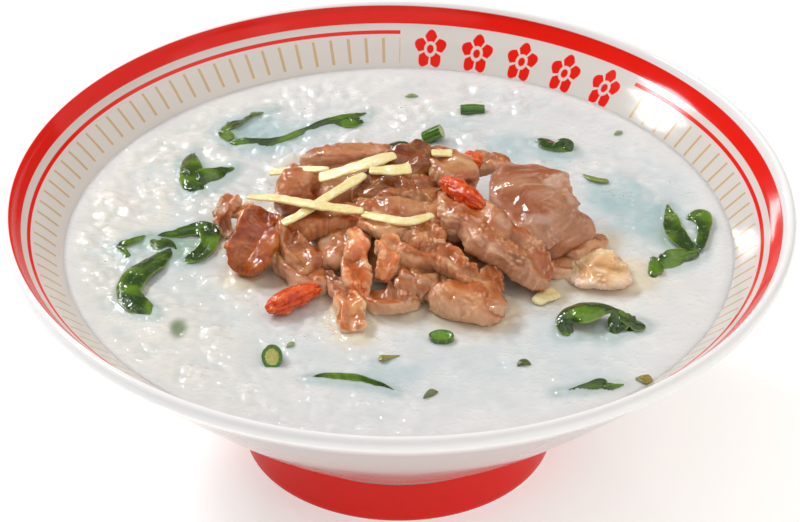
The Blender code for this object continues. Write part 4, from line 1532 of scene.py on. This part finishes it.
@dataclass(frozen=True)
class Studio:
    """The pale table, the soft light and the camera.

    The camera's place is in mm, its lens in mm on a 36 mm frame, and the table's reach in metres.
    """

    place: tuple[float, float, float] = (0.283, -1147.71, 846.954)
    right: tuple[float, float, float] = (0.99999, 0.0025, 0.00365)
    up: tuple[float, float, float] = (-0.00442, 0.56512, 0.82500)
    lens: float = 214.72
    sky: tuple[float, Colour] = (0.18, (1.0, 0.93, 0.86))
    table: Colour = (0.95, 0.95, 0.95)
    table_reach: float = 9.0
    glow: Colour = (1.0, 0.99, 0.98)
    glow_strength: float = 0.38
    lamps: tuple[Lamp, ...] = (
        Lamp("softbox", (-0.66, 0.25, 0.71), 1.2, 0.25, 5.7, (0.98, 1.0, 1.03)),
        Lamp("window", (-0.50, 0.85, 0.10), 1.3, 0.22, 1.6),
        Lamp("glint", (-0.42, 0.62, 0.66), 1.3, 0.25, 6.0),
        Lamp("overhead", (0.30, 0.12, 1.0), 1.3, 1.3, 4.4, (1.0, 0.97, 0.93)),
        Lamp("front_top", (0.35, -0.65, 0.68), 1.5, 2.0, 3.0, (1.0, 0.98, 0.95)),
        Lamp("side_right", (0.85, 0.0, 0.53), 1.3, 1.5, 4.2, (1.0, 0.93, 0.86)),
        Lamp("front_low", (0.2, -0.9, 0.6), 1.5, 1.6, 4.0),
    )

    def camera(self) -> None:
        """Sets the camera from its right and up directions."""
        right, up = unit(np.array(self.right)), unit(np.array(self.up))
        view = bpy.data.cameras.new("camera")
        view.lens, view.sensor_width, view.clip_start = self.lens, 36.0, 0.05
        camera = placed("camera", view)
        stand(camera, np.array(self.place) / MM, right, up, np.cross(right, up))
        bpy.context.scene.camera = camera

    def floor(self) -> None:
        """Lays the plain table top."""
        far = self.table_reach
        mesh = bpy.data.meshes.new("table_top")
        mesh.from_pydata([(-far, -far, 0), (far, -far, 0), (far, far, 0), (-far, far, 0)], [], [(0, 1, 2, 3)])
        w = Wiring("table_top")
        w.shade(
            Base_Color=w.mix(w.noise(60.0), self.table, dimmed(self.table, 0.99)), Roughness=0.9,
            Specular_IOR_Level=0.1, Emission_Color=(*self.glow, 1.0), Emission_Strength=self.glow_strength,
        )
        mesh.materials.append(w.material)
        top = placed("table_top", mesh)

    def build(self) -> None:
        """Sets up the whole studio."""
        self.camera()
        self.floor()
        world = bpy.data.worlds.new("sky")
        world.use_nodes = True
        sky = world.node_tree.nodes["Background"].inputs
        sky["Strength"].default_value, sky["Color"].default_value = self.sky[0], (*self.sky[1], 1.0)
        bpy.context.scene.world = world
        bpy.context.scene.view_settings.view_transform = "Standard"
        for lamp in self.lamps:
            lamp.build()


PORK: Mapping[str, Strip] = {
    "left_curl": strand((-50.4, 1.5, 1, 4, 4), (-51.2, 6.1, 4, 5, 4), (-50.6, 10.3, 6.5, 6, 4),
        (-48.6, 14.5, 7, 6, 3.5)),
    "left_lip": strand((-49.7, 9.5, 5, 4, 3, 20), (-46.1, 8.5, 6, 4, 3, 20), (-42.6, 5.1, 8, 5, 3, 20)),
    "left_slab": strand((-44.6, -16.7, 0.5, 8, 5), (-43, -14.2, 4, 12.5, 5.5), (-41.2, -10.3, 7.5, 14.5, 6),
        (-39.6, -5.4, 9.5, 14, 6, 6), (-37, 0.2, 11, 8, 5, 14), cup=0.28),
    "left_fold": strand((-30.6, -2.1, 9.5, 6, 7), (-31.2, -7.5, 8.5, 8, 8), (-30.2, -12.5, 6.5, 9, 8),
        (-26.8, -16.6, 4.5, 9, 7), (-24.4, -20.6, 2.5, 6, 5)),
    "left_foot": strand((-34.7, -3.1, 7.5, 6, 8), (-34.7, -8.8, 6, 7, 8), (-33.3, -13.8, 4, 7, 7),
        (-30.9, -17.9, 2, 5, 5)),
    "tail": strand((-22.9, -18.4, 3, 5, 4), (-19.9, -23, 2.8, 5, 4.5), (-16.9, -27, 2.8, 6, 4.5),
        (-14.4, -30.3, 3, 5, 4)),
    "front_left": strand((-15.9, -28.3, 3, 5, 4), (-14.9, -34.3, 3, 8, 5.5), (-13.5, -40.1, 2.2, 9.5, 5.5),
        (-12.5, -44.4, 1, 7, 4)),
    "back_left": strand((-28.7, 28.1, 8.5, 8, 7), (-29.2, 21.9, 8, 12, 10), (-30.8, 17, 6, 12, 10),
        (-30.4, 13.5, 3, 10, 7)),
    "back_ridge": strand((-28.9, 39.4, 3, 6, 5), (-21.9, 38.9, 5, 7, 6), (-13.9, 40.1, 5.5, 7.5, 6),
        (-6, 41.3, 5, 7, 6), (-1, 42.1, 4.5, 5, 5)),
    "back_inner": strand((-23.8, 15.5, 5, 8, 7), (-18.8, 17.5, 7, 11, 8), (-13.8, 20.1, 8.5, 11, 8),
        (-9.9, 22.6, 9.5, 8, 7)),
    "crown": strand((-8.9, 3.8, 11.5, 9, 8), (-6.9, 9.4, 13, 14, 9), (-2.9, 15.8, 14, 15, 9),
        (3.9, 22.1, 15, 13, 9), (8.3, 29.7, 14.5, 7, 7), cup=-0.15),
    "crown_right": strand((7.9, 28.3, 13.5, 7, 6), (11.8, 22.6, 14, 12, 8), (15.7, 16.7, 14, 13, 8),
        (19.7, 10.6, 13.5, 9, 7)),
    "ridge": strand((-29.7, -6.8, 8, 6, 7), (-26.2, -4.1, 9.5, 8, 8), (-20.2, -2.1, 10.5, 10, 8),
        (-13.8, -3.3, 11, 9, 8), (-9.4, -6.6, 10.5, 7, 7)),
    "middle": strand((-11.8, -6.1, 11.5, 5, 5), (-5.9, -9, 12.5, 7.5, 6), (0, -11.2, 13, 7.5, 6),
        (3.9, -10.7, 13, 6, 5)),
    "front_lobe_a": strand((-14.3, -8.5, 11.5, 3, 4), (-12.8, -13.5, 10.5, 6, 6), (-11.9, -18.4, 8.5, 8, 7),
        (-12.4, -22.7, 6, 8.5, 7), (-11.4, -27, 3.5, 8, 6), (-10.5, -29.9, 2, 5, 4)),
    "front_lobe_b": strand((-5.9, -15.4, 12.5, 5, 5), (-3.4, -17.6, 12, 7, 7), (-2.7, -20.9, 9.5, 6, 7),
        (-3.8, -24.2, 7, 5.5, 6), (-4.5, -25.7, 5, 4, 5)),
    "bumpy_a": strand((1, -9.8, 12, 6, 6), (4.9, -12.5, 12.5, 9, 7.5), (8.9, -15.2, 12, 8.5, 7.5),
        (10.7, -17.2, 11, 5, 6)),
    "crown_front": strand((-12.3, 7.3, 10.5, 7, 7), (-6.4, 7, 12, 13, 9), (1, 6.7, 12.5, 15, 10),
        (8.4, 8.7, 12.5, 13, 9), (13.3, 10.9, 12, 7, 7)),
    "bumpy_b": strand((0.5, -15.9, 10.5, 7, 7), (4.9, -19.4, 10.5, 10, 8), (10.9, -21.4, 10.5, 9, 8),
        (15.8, -23.8, 9.5, 8, 8), (19.3, -26.6, 8, 8, 7), (21.8, -28.7, 6, 5, 5)),
    "long": strand((15.7, 4.4, 15, 9, 7), (18.6, -3.4, 15, 13, 8), (23.1, -9.8, 14, 15, 9),
        (28.6, -14.7, 12, 16, 9), (34.6, -18.2, 9, 15, 9), (39.7, -20.7, 6, 13, 8), (43.8, -22.6, 3.5, 8, 6)),
    "slab": strand((33.5, 20.8, 12, 14, 7), (36.4, 12.1, 12.5, 22, 9), (39.4, 3.8, 11.5, 25, 10),
        (43.5, -2.4, 9, 25, 10), (47.7, -5.1, 5.5, 22, 9), (49.8, -7.4, 3, 14, 6)),
    "back_right": strand((19.7, 24.3, 11, 6, 5), (25.7, 27.5, 10.5, 9, 6), (32.6, 29.3, 9, 6, 5)),
    "right": strand((48.2, -14.9, -0.2, 10, 4), (53.8, -14.9, 0.9, 15.5, 5), (60.2, -15.1, 1.8, 18, 5.6),
        (67, -14.6, 1.2, 15, 5.2), cup=0.1),
    "front_right": strand((10, -29.8, 4, 8, 7), (14.9, -33, 4.5, 12, 9), (20.9, -35, 4.2, 12, 8),
        (25.9, -37, 2.8, 8, 6), (28.4, -38.1, 1.5, 4, 4)),
    "pink_lobe": strand((26, -21.7, 8, 3.5, 3.5), (25.8, -23.4, 6.5, 6, 5), (26.8, -25.5, 4.5, 7.5, 5.5),
        (29.4, -26.9, 2, 5, 4)),
    "front_small": strand((1.5, -26.1, 7, 5, 5), (2.5, -28.9, 5.5, 6.5, 6), (3.5, -31.3, 3, 5, 5)),
    "front_mid": strand((6.9, -21.9, 7.5, 7, 6), (6.9, -26.7, 6, 9, 7), (9, -30, 3.5, 7, 6)),
    "scrap_a": strand((-23.4, -12.7, 3.5, 8.6, 6), (-19.4, -12, 5.5, 12.6, 7), (-14.5, -9.9, 7.5, 11, 7),
        (-10.9, -6.3, 8.5, 6.5, 6)),
    "scrap_b": strand((-0.7, -17.7, 7, 6, 6), (2.5, -20.5, 7, 9.9, 7), (7.3, -25.4, 5.5, 9.8, 7),
        (12.1, -28.8, 4, 6.8, 6)),
    "scrap_c": strand((6.5, 3.9, 12, 7.4, 6), (11.4, -1.2, 12.5, 11, 7), (15.4, -7.7, 12, 10.2, 7),
        (18.6, -10.5, 10, 6.4, 6)),
    "scrap_d": strand((22, -0.3, 9, 7, 7), (26.8, -3.8, 7.5, 11.5, 8), (32.5, -8, 5, 12.4, 7),
        (38.2, -9.4, 2.5, 8.3, 5)),
    "scrap_e": strand((46.4, -4.3, 2.5, 7.3, 4), (51.3, -4.9, 3, 8.4, 5), (56.2, -2, 3, 7, 5),
        (60.1, 2.4, 2, 3.1, 3)),
    "scrap_f": strand((39, -8.3, 0.8, 5.6, 3), (43.8, -11.6, 1.6, 8.5, 4), (48.7, -12.3, 1.6, 8.6, 4),
        (52, -9.9, 1, 5.4, 3)),
    "scrap_g": strand((-8.7, -28.2, 1.5, 7.1, 4), (-3.9, -31.1, 2.6, 10, 5), (1.7, -30.2, 3, 10.4, 5),
        (6.5, -29.5, 2.5, 7.1, 4)),
    "scrap_h": strand((-9.8, 4.5, 11, 8.5, 6), (-4.9, 0.9, 12, 13.1, 7), (2.4, 0.6, 12.2, 13.1, 7),
        (8.9, 2.5, 12, 8.6, 6)),
    "scrap_i": strand((-33.1, -12.1, 4, 5.6, 6), (-30.6, -17.8, 4, 9.5, 6), (-25.7, -20.6, 3, 11.9, 6),
        (-20.9, -20.5, 2, 8.6, 5)),
    "scrap_j": strand((15.3, -30.1, 3, 9.2, 5), (20.1, -32.2, 4.5, 12.9, 6), (24.9, -32.2, 4.5, 12.9, 6),
        (28.9, -31.4, 3, 9.4, 5)),
    "scrap_k": strand((-25, 34, 1, 6, 5), (-17, 33, 2.2, 9, 6.5), (-9, 33.5, 2.6, 9, 6.5),
        (-2, 35.5, 2.2, 8, 6), (3, 37.5, 0.5, 5, 4)),
    "scrap_l": strand((-16, 27, 3, 7, 6), (-9, 28.5, 4, 8, 7), (-2, 29, 4, 8, 7), (5, 29.5, 2.5, 6, 6)),
}

GOJI: Mapping[str, Strip] = {
    "goji_front": strand((-37.7, -36.2, 2.6, 4.6, 4.4), (-33.9, -33.7, 2.9, 6.6, 6),
        (-27.9, -29.1, 3.2, 6.6, 6), (-22.4, -25.9, 3.4, 4.4, 4)),
    "goji_back": strand((18.2, 24.6, 14, 4, 4), (20.6, 24.1, 14, 6.5, 6), (24.1, 22.6, 14, 5, 5)),
    "goji_top": strand((12.4, 7.9, 18.2, 4.5, 4.4), (15.6, 3.7, 18.4, 6, 5.5), (20, -1.1, 18, 6.6, 6),
        (24.5, -5.4, 17, 4.6, 4.4)),
}

GINGER: Mapping[str, Strip] = {
    "ginger_a": strand((-38.1, 25.1, 9, 2.6, 2), (-32.5, 22.8, 11, 2.6, 2), (-26.6, 20.8, 12.8, 2.4, 2),
        (-20.6, 19, 14.2, 1.6, 1.6)),
    "ginger_b": strand((-23.6, 14.6, 14, 4.2, 2), (-16.6, 14.4, 16.5, 3.4, 2), (-8.8, 15.6, 18.6, 3.8, 2),
        (-1, 18.6, 19.6, 3.2, 1.8)),
    "ginger_c": strand((-8.8, 9.8, 20, 2.6, 1.8), (-1.9, 8.9, 20.6, 3.4, 1.8), (3.4, 9.8, 20.8, 4, 1.6)),
    "ginger_d": strand((-33.9, -7.3, 12.5, 2.4, 2), (-27.5, -4.1, 14.5, 2.4, 2), (-19.6, 2.2, 16.5, 2.6, 2),
        (-9.8, 10.7, 18, 2.8, 2)),
    "ginger_e": strand((-44.5, 12.1, 9, 2.2, 1.8), (-35.4, 5.3, 13, 2.8, 2), (-26.4, -2.4, 16.3, 2.8, 2),
        (-18.6, -4.5, 16.4, 3, 2), (-10.3, -6.2, 16.4, 2.6, 1.8)),
    "ginger_f": strand((-10.8, -6.3, 15.6, 2.4, 1.8), (-3.9, -10.8, 16.9, 2.6, 1.8),
        (2.9, -12.9, 17.4, 2.8, 1.8), (9.8, -8.2, 16.6, 2.4, 1.8)),
    "ginger_g": strand((9.3, 22.2, 18, 2.4, 1.8), (15.6, 22.6, 17.6, 2.6, 1.8)),
    "ginger_bit": strand((39, -29.6, 0.8, 2.2, 2), (41.9, -26.7, 1.2, 4.5, 2.4), (45.5, -24.2, 0.8, 4, 2)),
}

GREENS: Mapping[str, tuple[Strip, ...]] = {
    "leaf_back_left": (
        strand((-37.7, 73.9, 0.1, 0.7), (-41.6, 72.1, 0.3, 3.9, 0.9, 15), (-45.3, 69.6, 0.45, 4.3, 0.9, 15),
            (-49, 65.9, 0.5, 4.9, 0.9, 15), (-51.6, 63.1, 0.5, 5.4, 0.9, 10), (-53.8, 60.6, 0.1, 3)),
        strand((-54.2, 61.4, 0.1, 2.8), (-52.2, 58.3, 0.5, 4.2), (-50.8, 54.8, 0.8, 3.9), cup=0.1),
        strand((-51.3, 54.2, 0.5, 2.6, 0.9, 10), (-48.6, 53.6, 0.9, 4.6, 0.9, 20),
            (-44.1, 53.5, 1, 4.2, 0.9, 25), (-39.3, 53.9, 1, 3.1, 0.9, 25), (-34.4, 56.2, 0.9, 2.2, 0.9, 25),
            (-28.5, 60.4, 0.9, 2.3, 0.9, 25), (-22.6, 64.8, 0.9, 3, 0.9, 20), (-18.8, 66.5, 0.9, 3.8, 0.9, 15),
            (-15, 68.2, 0.8, 3.8, 0.9, 10), (-11.7, 69.9, 0.6, 3.6, 0.9, 5), (-9.2, 71.5, 0.1, 1.2), cup=-0.1),
        strand((-20.7, 65.9, 0.3, 2.1), (-17.3, 65.3, 0.5, 4.1), (-14.3, 65.3, 0.5, 4.8),
            (-11.6, 67.3, 0.5, 3.5), (-9.4, 70, 0.2, 1.8), cup=0.1),
    ),
    "leaf_back_left_fold": (
        strand((-61.3, 50.1, 0.1, 2.1), (-62.1, 45.1, 1, 5), (-61.9, 38.9, 1.5, 7.5), (-61, 32.7, 1.6, 8.1),
            (-61, 28.2, 1, 6.4), (-61.4, 27.3, 0.1, 3.2), cup=-0.2),
        strand((-60.9, 31.2, 0.8, 8.8, 0.9, 25), (-58.3, 31.7, 1.4, 9.6, 0.9, 25),
            (-55.5, 34.4, 1.4, 7.4, 0.9, 25), (-52.6, 37.4, 1.1, 5, 0.9, 20), (-50.3, 39.7, 0.7, 3.2, 0.9, 10),
            (-48.5, 42.1, 0.05, 0.8), cup=-0.15),
    ),
    "leaf_left": (
        strand((-66.1, -2.4, 0.6, 3.5), (-67.8, -6.1, 1.3, 6.3), (-70.7, -10.9, 1.9, 8),
            (-73.9, -15.3, 2.1, 8.1), (-76.5, -20, 2.1, 7.6), (-77.4, -25.3, 2, 7.1), (-76, -29.7, 1.6, 8.5),
            (-73.1, -32.7, 1.1, 8), (-71.2, -34.8, 0.5, 4.8), (-70.1, -36.3, -0.1, 1.6), cup=-0.16),
        strand((-72.3, 2.6, 0.2, 2.4), (-68.9, 3.8, 0.6, 3.5, 0.9, 5), (-65.2, 4.8, 0.7, 4.3, 0.9, 5),
            (-61.5, 6.2, 0.8, 5.1, 0.9, 5), (-58.1, 7.1, 1, 6.6, 0.9, 5), (-55.5, 4.9, 1.1, 6.2),
            (-55.2, 0, 1, 5.3), (-56.8, -4.7, 0.9, 5.8), (-59.7, -8, 0.7, 5.4), (-62.1, -9.3, 0.4, 3.8),
            (-63.9, -9.6, -0.05, 1.6), cup=0.12),
        strand((-64.5, -3.8, 0.3, 2), (-67.4, -0.9, 0.9, 5.6), (-70.2, -0.3, 1.1, 5.6), (-72.2, 1.8, 0.6, 2.3),
            cup=-0.1),
    ),
    "leaf_left_tip": (
        strand((-73.5, 5.2, 0.05, 1), (-75.7, 2.8, 0.5, 2.4), (-78.4, 0.5, 0.7, 3.2), (-80.8, -0.9, 0.7, 3.6),
            (-82.2, -1.4, 0.3, 2.1)),
        strand((-82.1, -1, 0.3, 1.7), (-80.4, -3.3, 0.6, 2.7), (-78.8, -5.8, 0.6, 2), (-78.1, -8.8, 0.4, 1.7),
            (-79, -12, 0, 0.7)),
    ),
    "leaf_right": (
        strand((78.9, 22.9, 0.1, 0.7), (79.2, 18.2, 0.7, 2.9), (79.7, 13.4, 1.1, 4.7), (79.9, 8.7, 1.3, 5.4),
            (81.1, 3.9, 1.4, 6), (83.1, -0.3, 1.4, 5.4), (85.2, -2.5, 1.2, 5.3), (87, -3.2, 0.6, 2.9),
            cup=0.12),
        strand((84.4, 14.3, 0.2, 2.1), (85.9, 14.8, 1, 5.5), (88, 14.8, 1.5, 7.3), (89.1, 11.5, 1.6, 5.2),
            (88.9, 7, 1.4, 3.8), (88.2, 2.5, 1.3, 3.3), (87.4, -1.3, 1.1, 3.4), (86.7, -3.4, 0.5, 2.2),
            cup=-0.06),
        strand((86.8, -3.1, 0.6, 5.4), (83.9, -5.1, 1.1, 6.1, 0.9, -15), (80.9, -6.8, 1.3, 6.9, 0.9, -20),
            (77.9, -8.5, 1.3, 7.2, 0.9, -20), (75.6, -8.8, 1.1, 6.9, 0.9, -10), (74.2, -8.7, 0.7, 6),
            cup=-0.08),
        strand((73, -5.4, 0.1, 2.3), (74.2, -7.8, 0.9, 4), (74.2, -12, 1.3, 4.7), (73.6, -14.8, 1, 4),
            (73.9, -15.9, 0.1, 1.9), cup=-0.25),
    ),
    "leaf_front_right": (
        strand((49.5, -45.5, -0.2, 2.1), (48.2, -44.1, 0.9, 5.1), (47.1, -42.2, 2, 5.3),
            (47.7, -39.9, 2.9, 6.6), (50, -38.3, 3.6, 9.1), (53.7, -37.3, 4, 9.9), (57.3, -36.7, 4, 7.9),
            (60.3, -36.8, 3.7, 5.1), (62.8, -37.4, 3.2, 2.2), cup=-0.15),
        strand((60.5, -35.8, 3.6, 2.5), (62.2, -38.4, 3, 5.5), (62.3, -40.8, 1.9, 6.3), (61.5, -42.9, 0.9, 4.8),
            (61.7, -44.9, -0.1, 1.4), cup=-0.1),
        strand((62, -37.2, 3, 2.5), (64.2, -38.8, 2.6, 4.8), (66.2, -39.5, 1.9, 5.9), (67.8, -39.6, 1, 7),
            (68.6, -38.2, 0.3, 1.6), cup=-0.15),
        strand((68.3, -37.8, 0.4, 1.4), (66.9, -40.6, 0.7, 3.2), (65.3, -42.3, 0.5, 3.3),
            (64.2, -43.3, -0.05, 1.4), cup=-0.1),
    ),
    "leaf_back_right": (
        strand((40.1, 55.7, 0, 1.8), (42.5, 55.5, 0.7, 5.1), (44.5, 53.8, 0.9, 5.1), (47.1, 51.9, 0.9, 3.6),
            (49.6, 50.6, 0.5, 2.2), (51.2, 49.9, 0.1, 1), cup=-0.1),
        strand((45.7, 52.9, 0.6, 2, 0.9, 10), (47.9, 53, 1.3, 3.6, 0.9, 30), (49.9, 52.9, 1.5, 3.9, 0.9, 30),
            (50.9, 51.5, 1.2, 3.4), (51.4, 49.8, 0, 0.9), cup=-0.1),
    ),
    "leaf_front_edge": (
        strand((44.2, -71.9, -0.1, 0.7), (48.5, -71, 0.3, 1.5, 0.9, 15), (52.7, -70.1, 0.7, 2.7, 0.9, 25),
            (56.2, -69.4, 1, 4.3, 0.9, 25), (58.1, -70, 0.8, 3, 0.9, 15), (60.5, -69.7, 0.6, 2.7, 0.9, 10),
            (63.4, -68.4, 0, 0.7), cup=-0.1),
    ),
    "leaf_front_left": (
        strand((-26, -66.4, -0.1, 0.5, 0.9, 30), (-22.6, -66, 0.4, 2.4, 0.9, 40),
            (-18, -66.2, 0.6, 2.8, 0.9, 40), (-12.8, -66.8, 0.6, 2.9, 0.9, 40), (-8, -68.2, 0.5, 2.5, 0.9, 40),
            (-3.6, -70.3, 0.3, 1.8, 0.9, 35), (0.2, -72.6, -0.15, 0.4, 0.9, 20)),
    ),
    "leaf_behind_heap": (
        strand((-6.7, 49.1, 0.3, 1.5), (-4.1, 50.2, 1, 3.5), (-1.1, 51.5, 1.3, 4.2), (1.9, 52.5, 1.2, 4),
            (4, 52.5, 0.3, 1.8), cup=-0.1),
    ),
}

CHIVES: Mapping[str, Strip] = {
    "chive_stub_back": strand((12.6, 56.7, 3.4, 4.2, 4.2), (10, 56.9, 1.9, 4.2, 4.2),
        (7.6, 57.2, 0.3, 4.2, 4.2)),
    "chive_piece_back": strand((18.4, 72.9, 0.5, 3.6, 3), (22, 73, 0.7, 3.6, 3), (25.7, 73.2, 0.6, 3.2, 2.6)),
    "chive_cut_left": strand((-35.5, -58.5, 2.2, 5.9, 7), (-35.5, -56.6, 0.5, 5.9, 7),
        (-35.5, -54.7, -1.2, 5.6, 6.6)),
    "chive_cut_front": strand((12.1, -46.3, 1.2, 7.2, 5.6), (12.1, -46.3, -0.6, 7, 5.4),
        (12.1, -46.3, -2.4, 6.8, 5.2)),
}

BITS: Mapping[str, Strip] = {
    "chive_sliver_right": strand((54.6, 38.2, 0.1, 0.8), (56, 36.4, 0.5, 1.7), (58.6, 34.8, 0.6, 2),
        (61.2, 34.2, 0.5, 1.9), (62.2, 34.2, 0.1, 1)),
    "chive_chip_front": strand((33.4, -59.8, 0, 1), (34.4, -58.8, 0.8, 2.8), (35.8, -58.5, 0.8, 3),
        (37.2, -58.9, 0, 0.8), cup=-0.2),
    "chive_chip_rim": strand((66.2, -65.4, 0, 1), (67.8, -65.9, 0.6, 2.8), (69.6, -66.4, 0.7, 4.2),
        (71, -66.6, 0.3, 2.4)),
    "chive_chip_near": strand((6.9, -75.2, 0, 0.9), (8.2, -74.1, 0.5, 1.9, 1, 20),
        (9.7, -72.9, 0.6, 2.3, 1, 20), (11, -72.2, 0.1, 1.2)),
    "drop_front": strand((-5.6, -57.4, 0.2, 1.2), (-4.6, -56.9, 0.7, 2.8), (-2.8, -56.1, 0.5, 1.7),
        (0.4, -55, 0.1, 0.6)),
    "flake_rim": strand((70.2, -68.6, 0.2, 0.6), (71.6, -68, 0.6, 1.2), (73.2, -66.8, 0.3, 0.6)),
    "speck_left": strand((-31.6, -50.6, -0.1, 1), (-30.4, -49.4, 0.15, 1.6), (-29.4, -48.6, -0.1, 1)),
    "speck_back": strand((1.6, 81.2, -0.1, 0.8), (3.6, 81.6, 0.3, 1.4), (5.6, 81.6, -0.1, 0.8)),
    "speck_right": strand((64.6, 60.2, -0.1, 0.8), (66, 61.2, 0.3, 1.6), (67.2, 62.2, -0.1, 0.8)),
}

SPECK_TONES: tuple[Colour, Colour] = ((0.20, 0.30, 0.10), (0.34, 0.42, 0.2))
BIT_TONES: Mapping[str, tuple[Colour, Colour]] = {
    "chive_sliver_right": ((0.10, 0.17, 0.012), (0.24, 0.32, 0.04)),
    "chive_chip_front": ((0.03, 0.07, 0.008), (0.10, 0.16, 0.03)),
    "chive_chip_rim": ((0.20, 0.17, 0.015), (0.38, 0.26, 0.03)),
    "chive_chip_near": ((0.06, 0.09, 0.02), (0.16, 0.18, 0.05)),
    "drop_front": ((0.17, 0.13, 0.012), (0.30, 0.30, 0.05)),
    "flake_rim": ((0.45, 0.16, 0.05), (0.6, 0.3, 0.12)),
}

TONES: Mapping[str, Colour] = {
    "right": (1.52, 2.35, 3.1), "crown": (0.48, 0.29, 0.09), "crown_right": (0.92, 0.85, 0.75),
    "crown_front": (0.78, 0.66, 0.48), "left_slab": (0.78, 0.40, 0.10), "back_left": (0.9, 0.66, 0.5),
    "front_lobe_a": (1.6, 1.5, 1.45), "front_lobe_b": (1.55, 1.45, 1.4), "ridge": (0.95, 0.72, 0.52),
    "slab": (0.85, 0.83, 1.0), "pink_lobe": (1.3, 1.35, 1.4), "left_lip": (1.25, 1.3, 1.35),
    "front_left": (1.35, 1.4, 1.35), "middle": (1.35, 1.45, 1.45), "bumpy_b": (1.15, 1.1, 1.0),
    "long": (1.0, 0.94, 0.94), "left_fold": (0.95, 0.85, 0.75), "back_ridge": (0.95, 0.85, 0.8),
    "front_right": (1.1, 1.05, 1.0), "bumpy_a": (1.1, 1.0, 0.9),
}

GRAINS: Mapping[str, Grain] = {
    "slab": Grain.SMOOTH, "long": Grain.BUMPY, "bumpy_a": Grain.BUMPY, "bumpy_b": Grain.BUMPY,
    "front_right": Grain.BUMPY, "right": Grain.PATTY, "crown_front": Grain.BUMPY,
}

CUTS: Mapping[str, Cut] = {"chive_cut_left": Cut.POOL, "chive_cut_front": Cut.RIBBED, "chive_stub_back": Cut.PALE}


def main() -> None:
    """Builds the studio, the bowl and the food in order."""
    logging.basicConfig(level=logging.INFO, format="%(message)s")
    Studio().build()
    Bowl().build()
    slices = tuple(
        Slice(name, strip, GRAINS.get(name, Grain.FIBROUS), seed, TONES.get(name, WHITE))
        for seed, (name, strip) in enumerate(PORK.items())
    )
    leaves = tuple(Leaf(name, strips, seed=seed) for seed, (name, strips) in enumerate(GREENS.items()))
    Congee().build([strip for leaf in leaves for strip in leaf.strips], [piece.strip for piece in slices])
    Heap(slices).build()
    Garnish(
        tuple(Berry(name, strip, seed=seed) for seed, (name, strip) in enumerate(GOJI.items())),
        tuple(Shred(name, strip) for name, strip in GINGER.items()),
        leaves,
        tuple(Chive(name, strip, CUTS.get(name, Cut.HOLLOW)) for name, strip in CHIVES.items()),
        tuple(Leaf(name, (strip,), 0.7, 0.12, *BIT_TONES.get(name, SPECK_TONES)) for name, strip in BITS.items()),
    ).build()


if __name__ == "__main__":
    main()
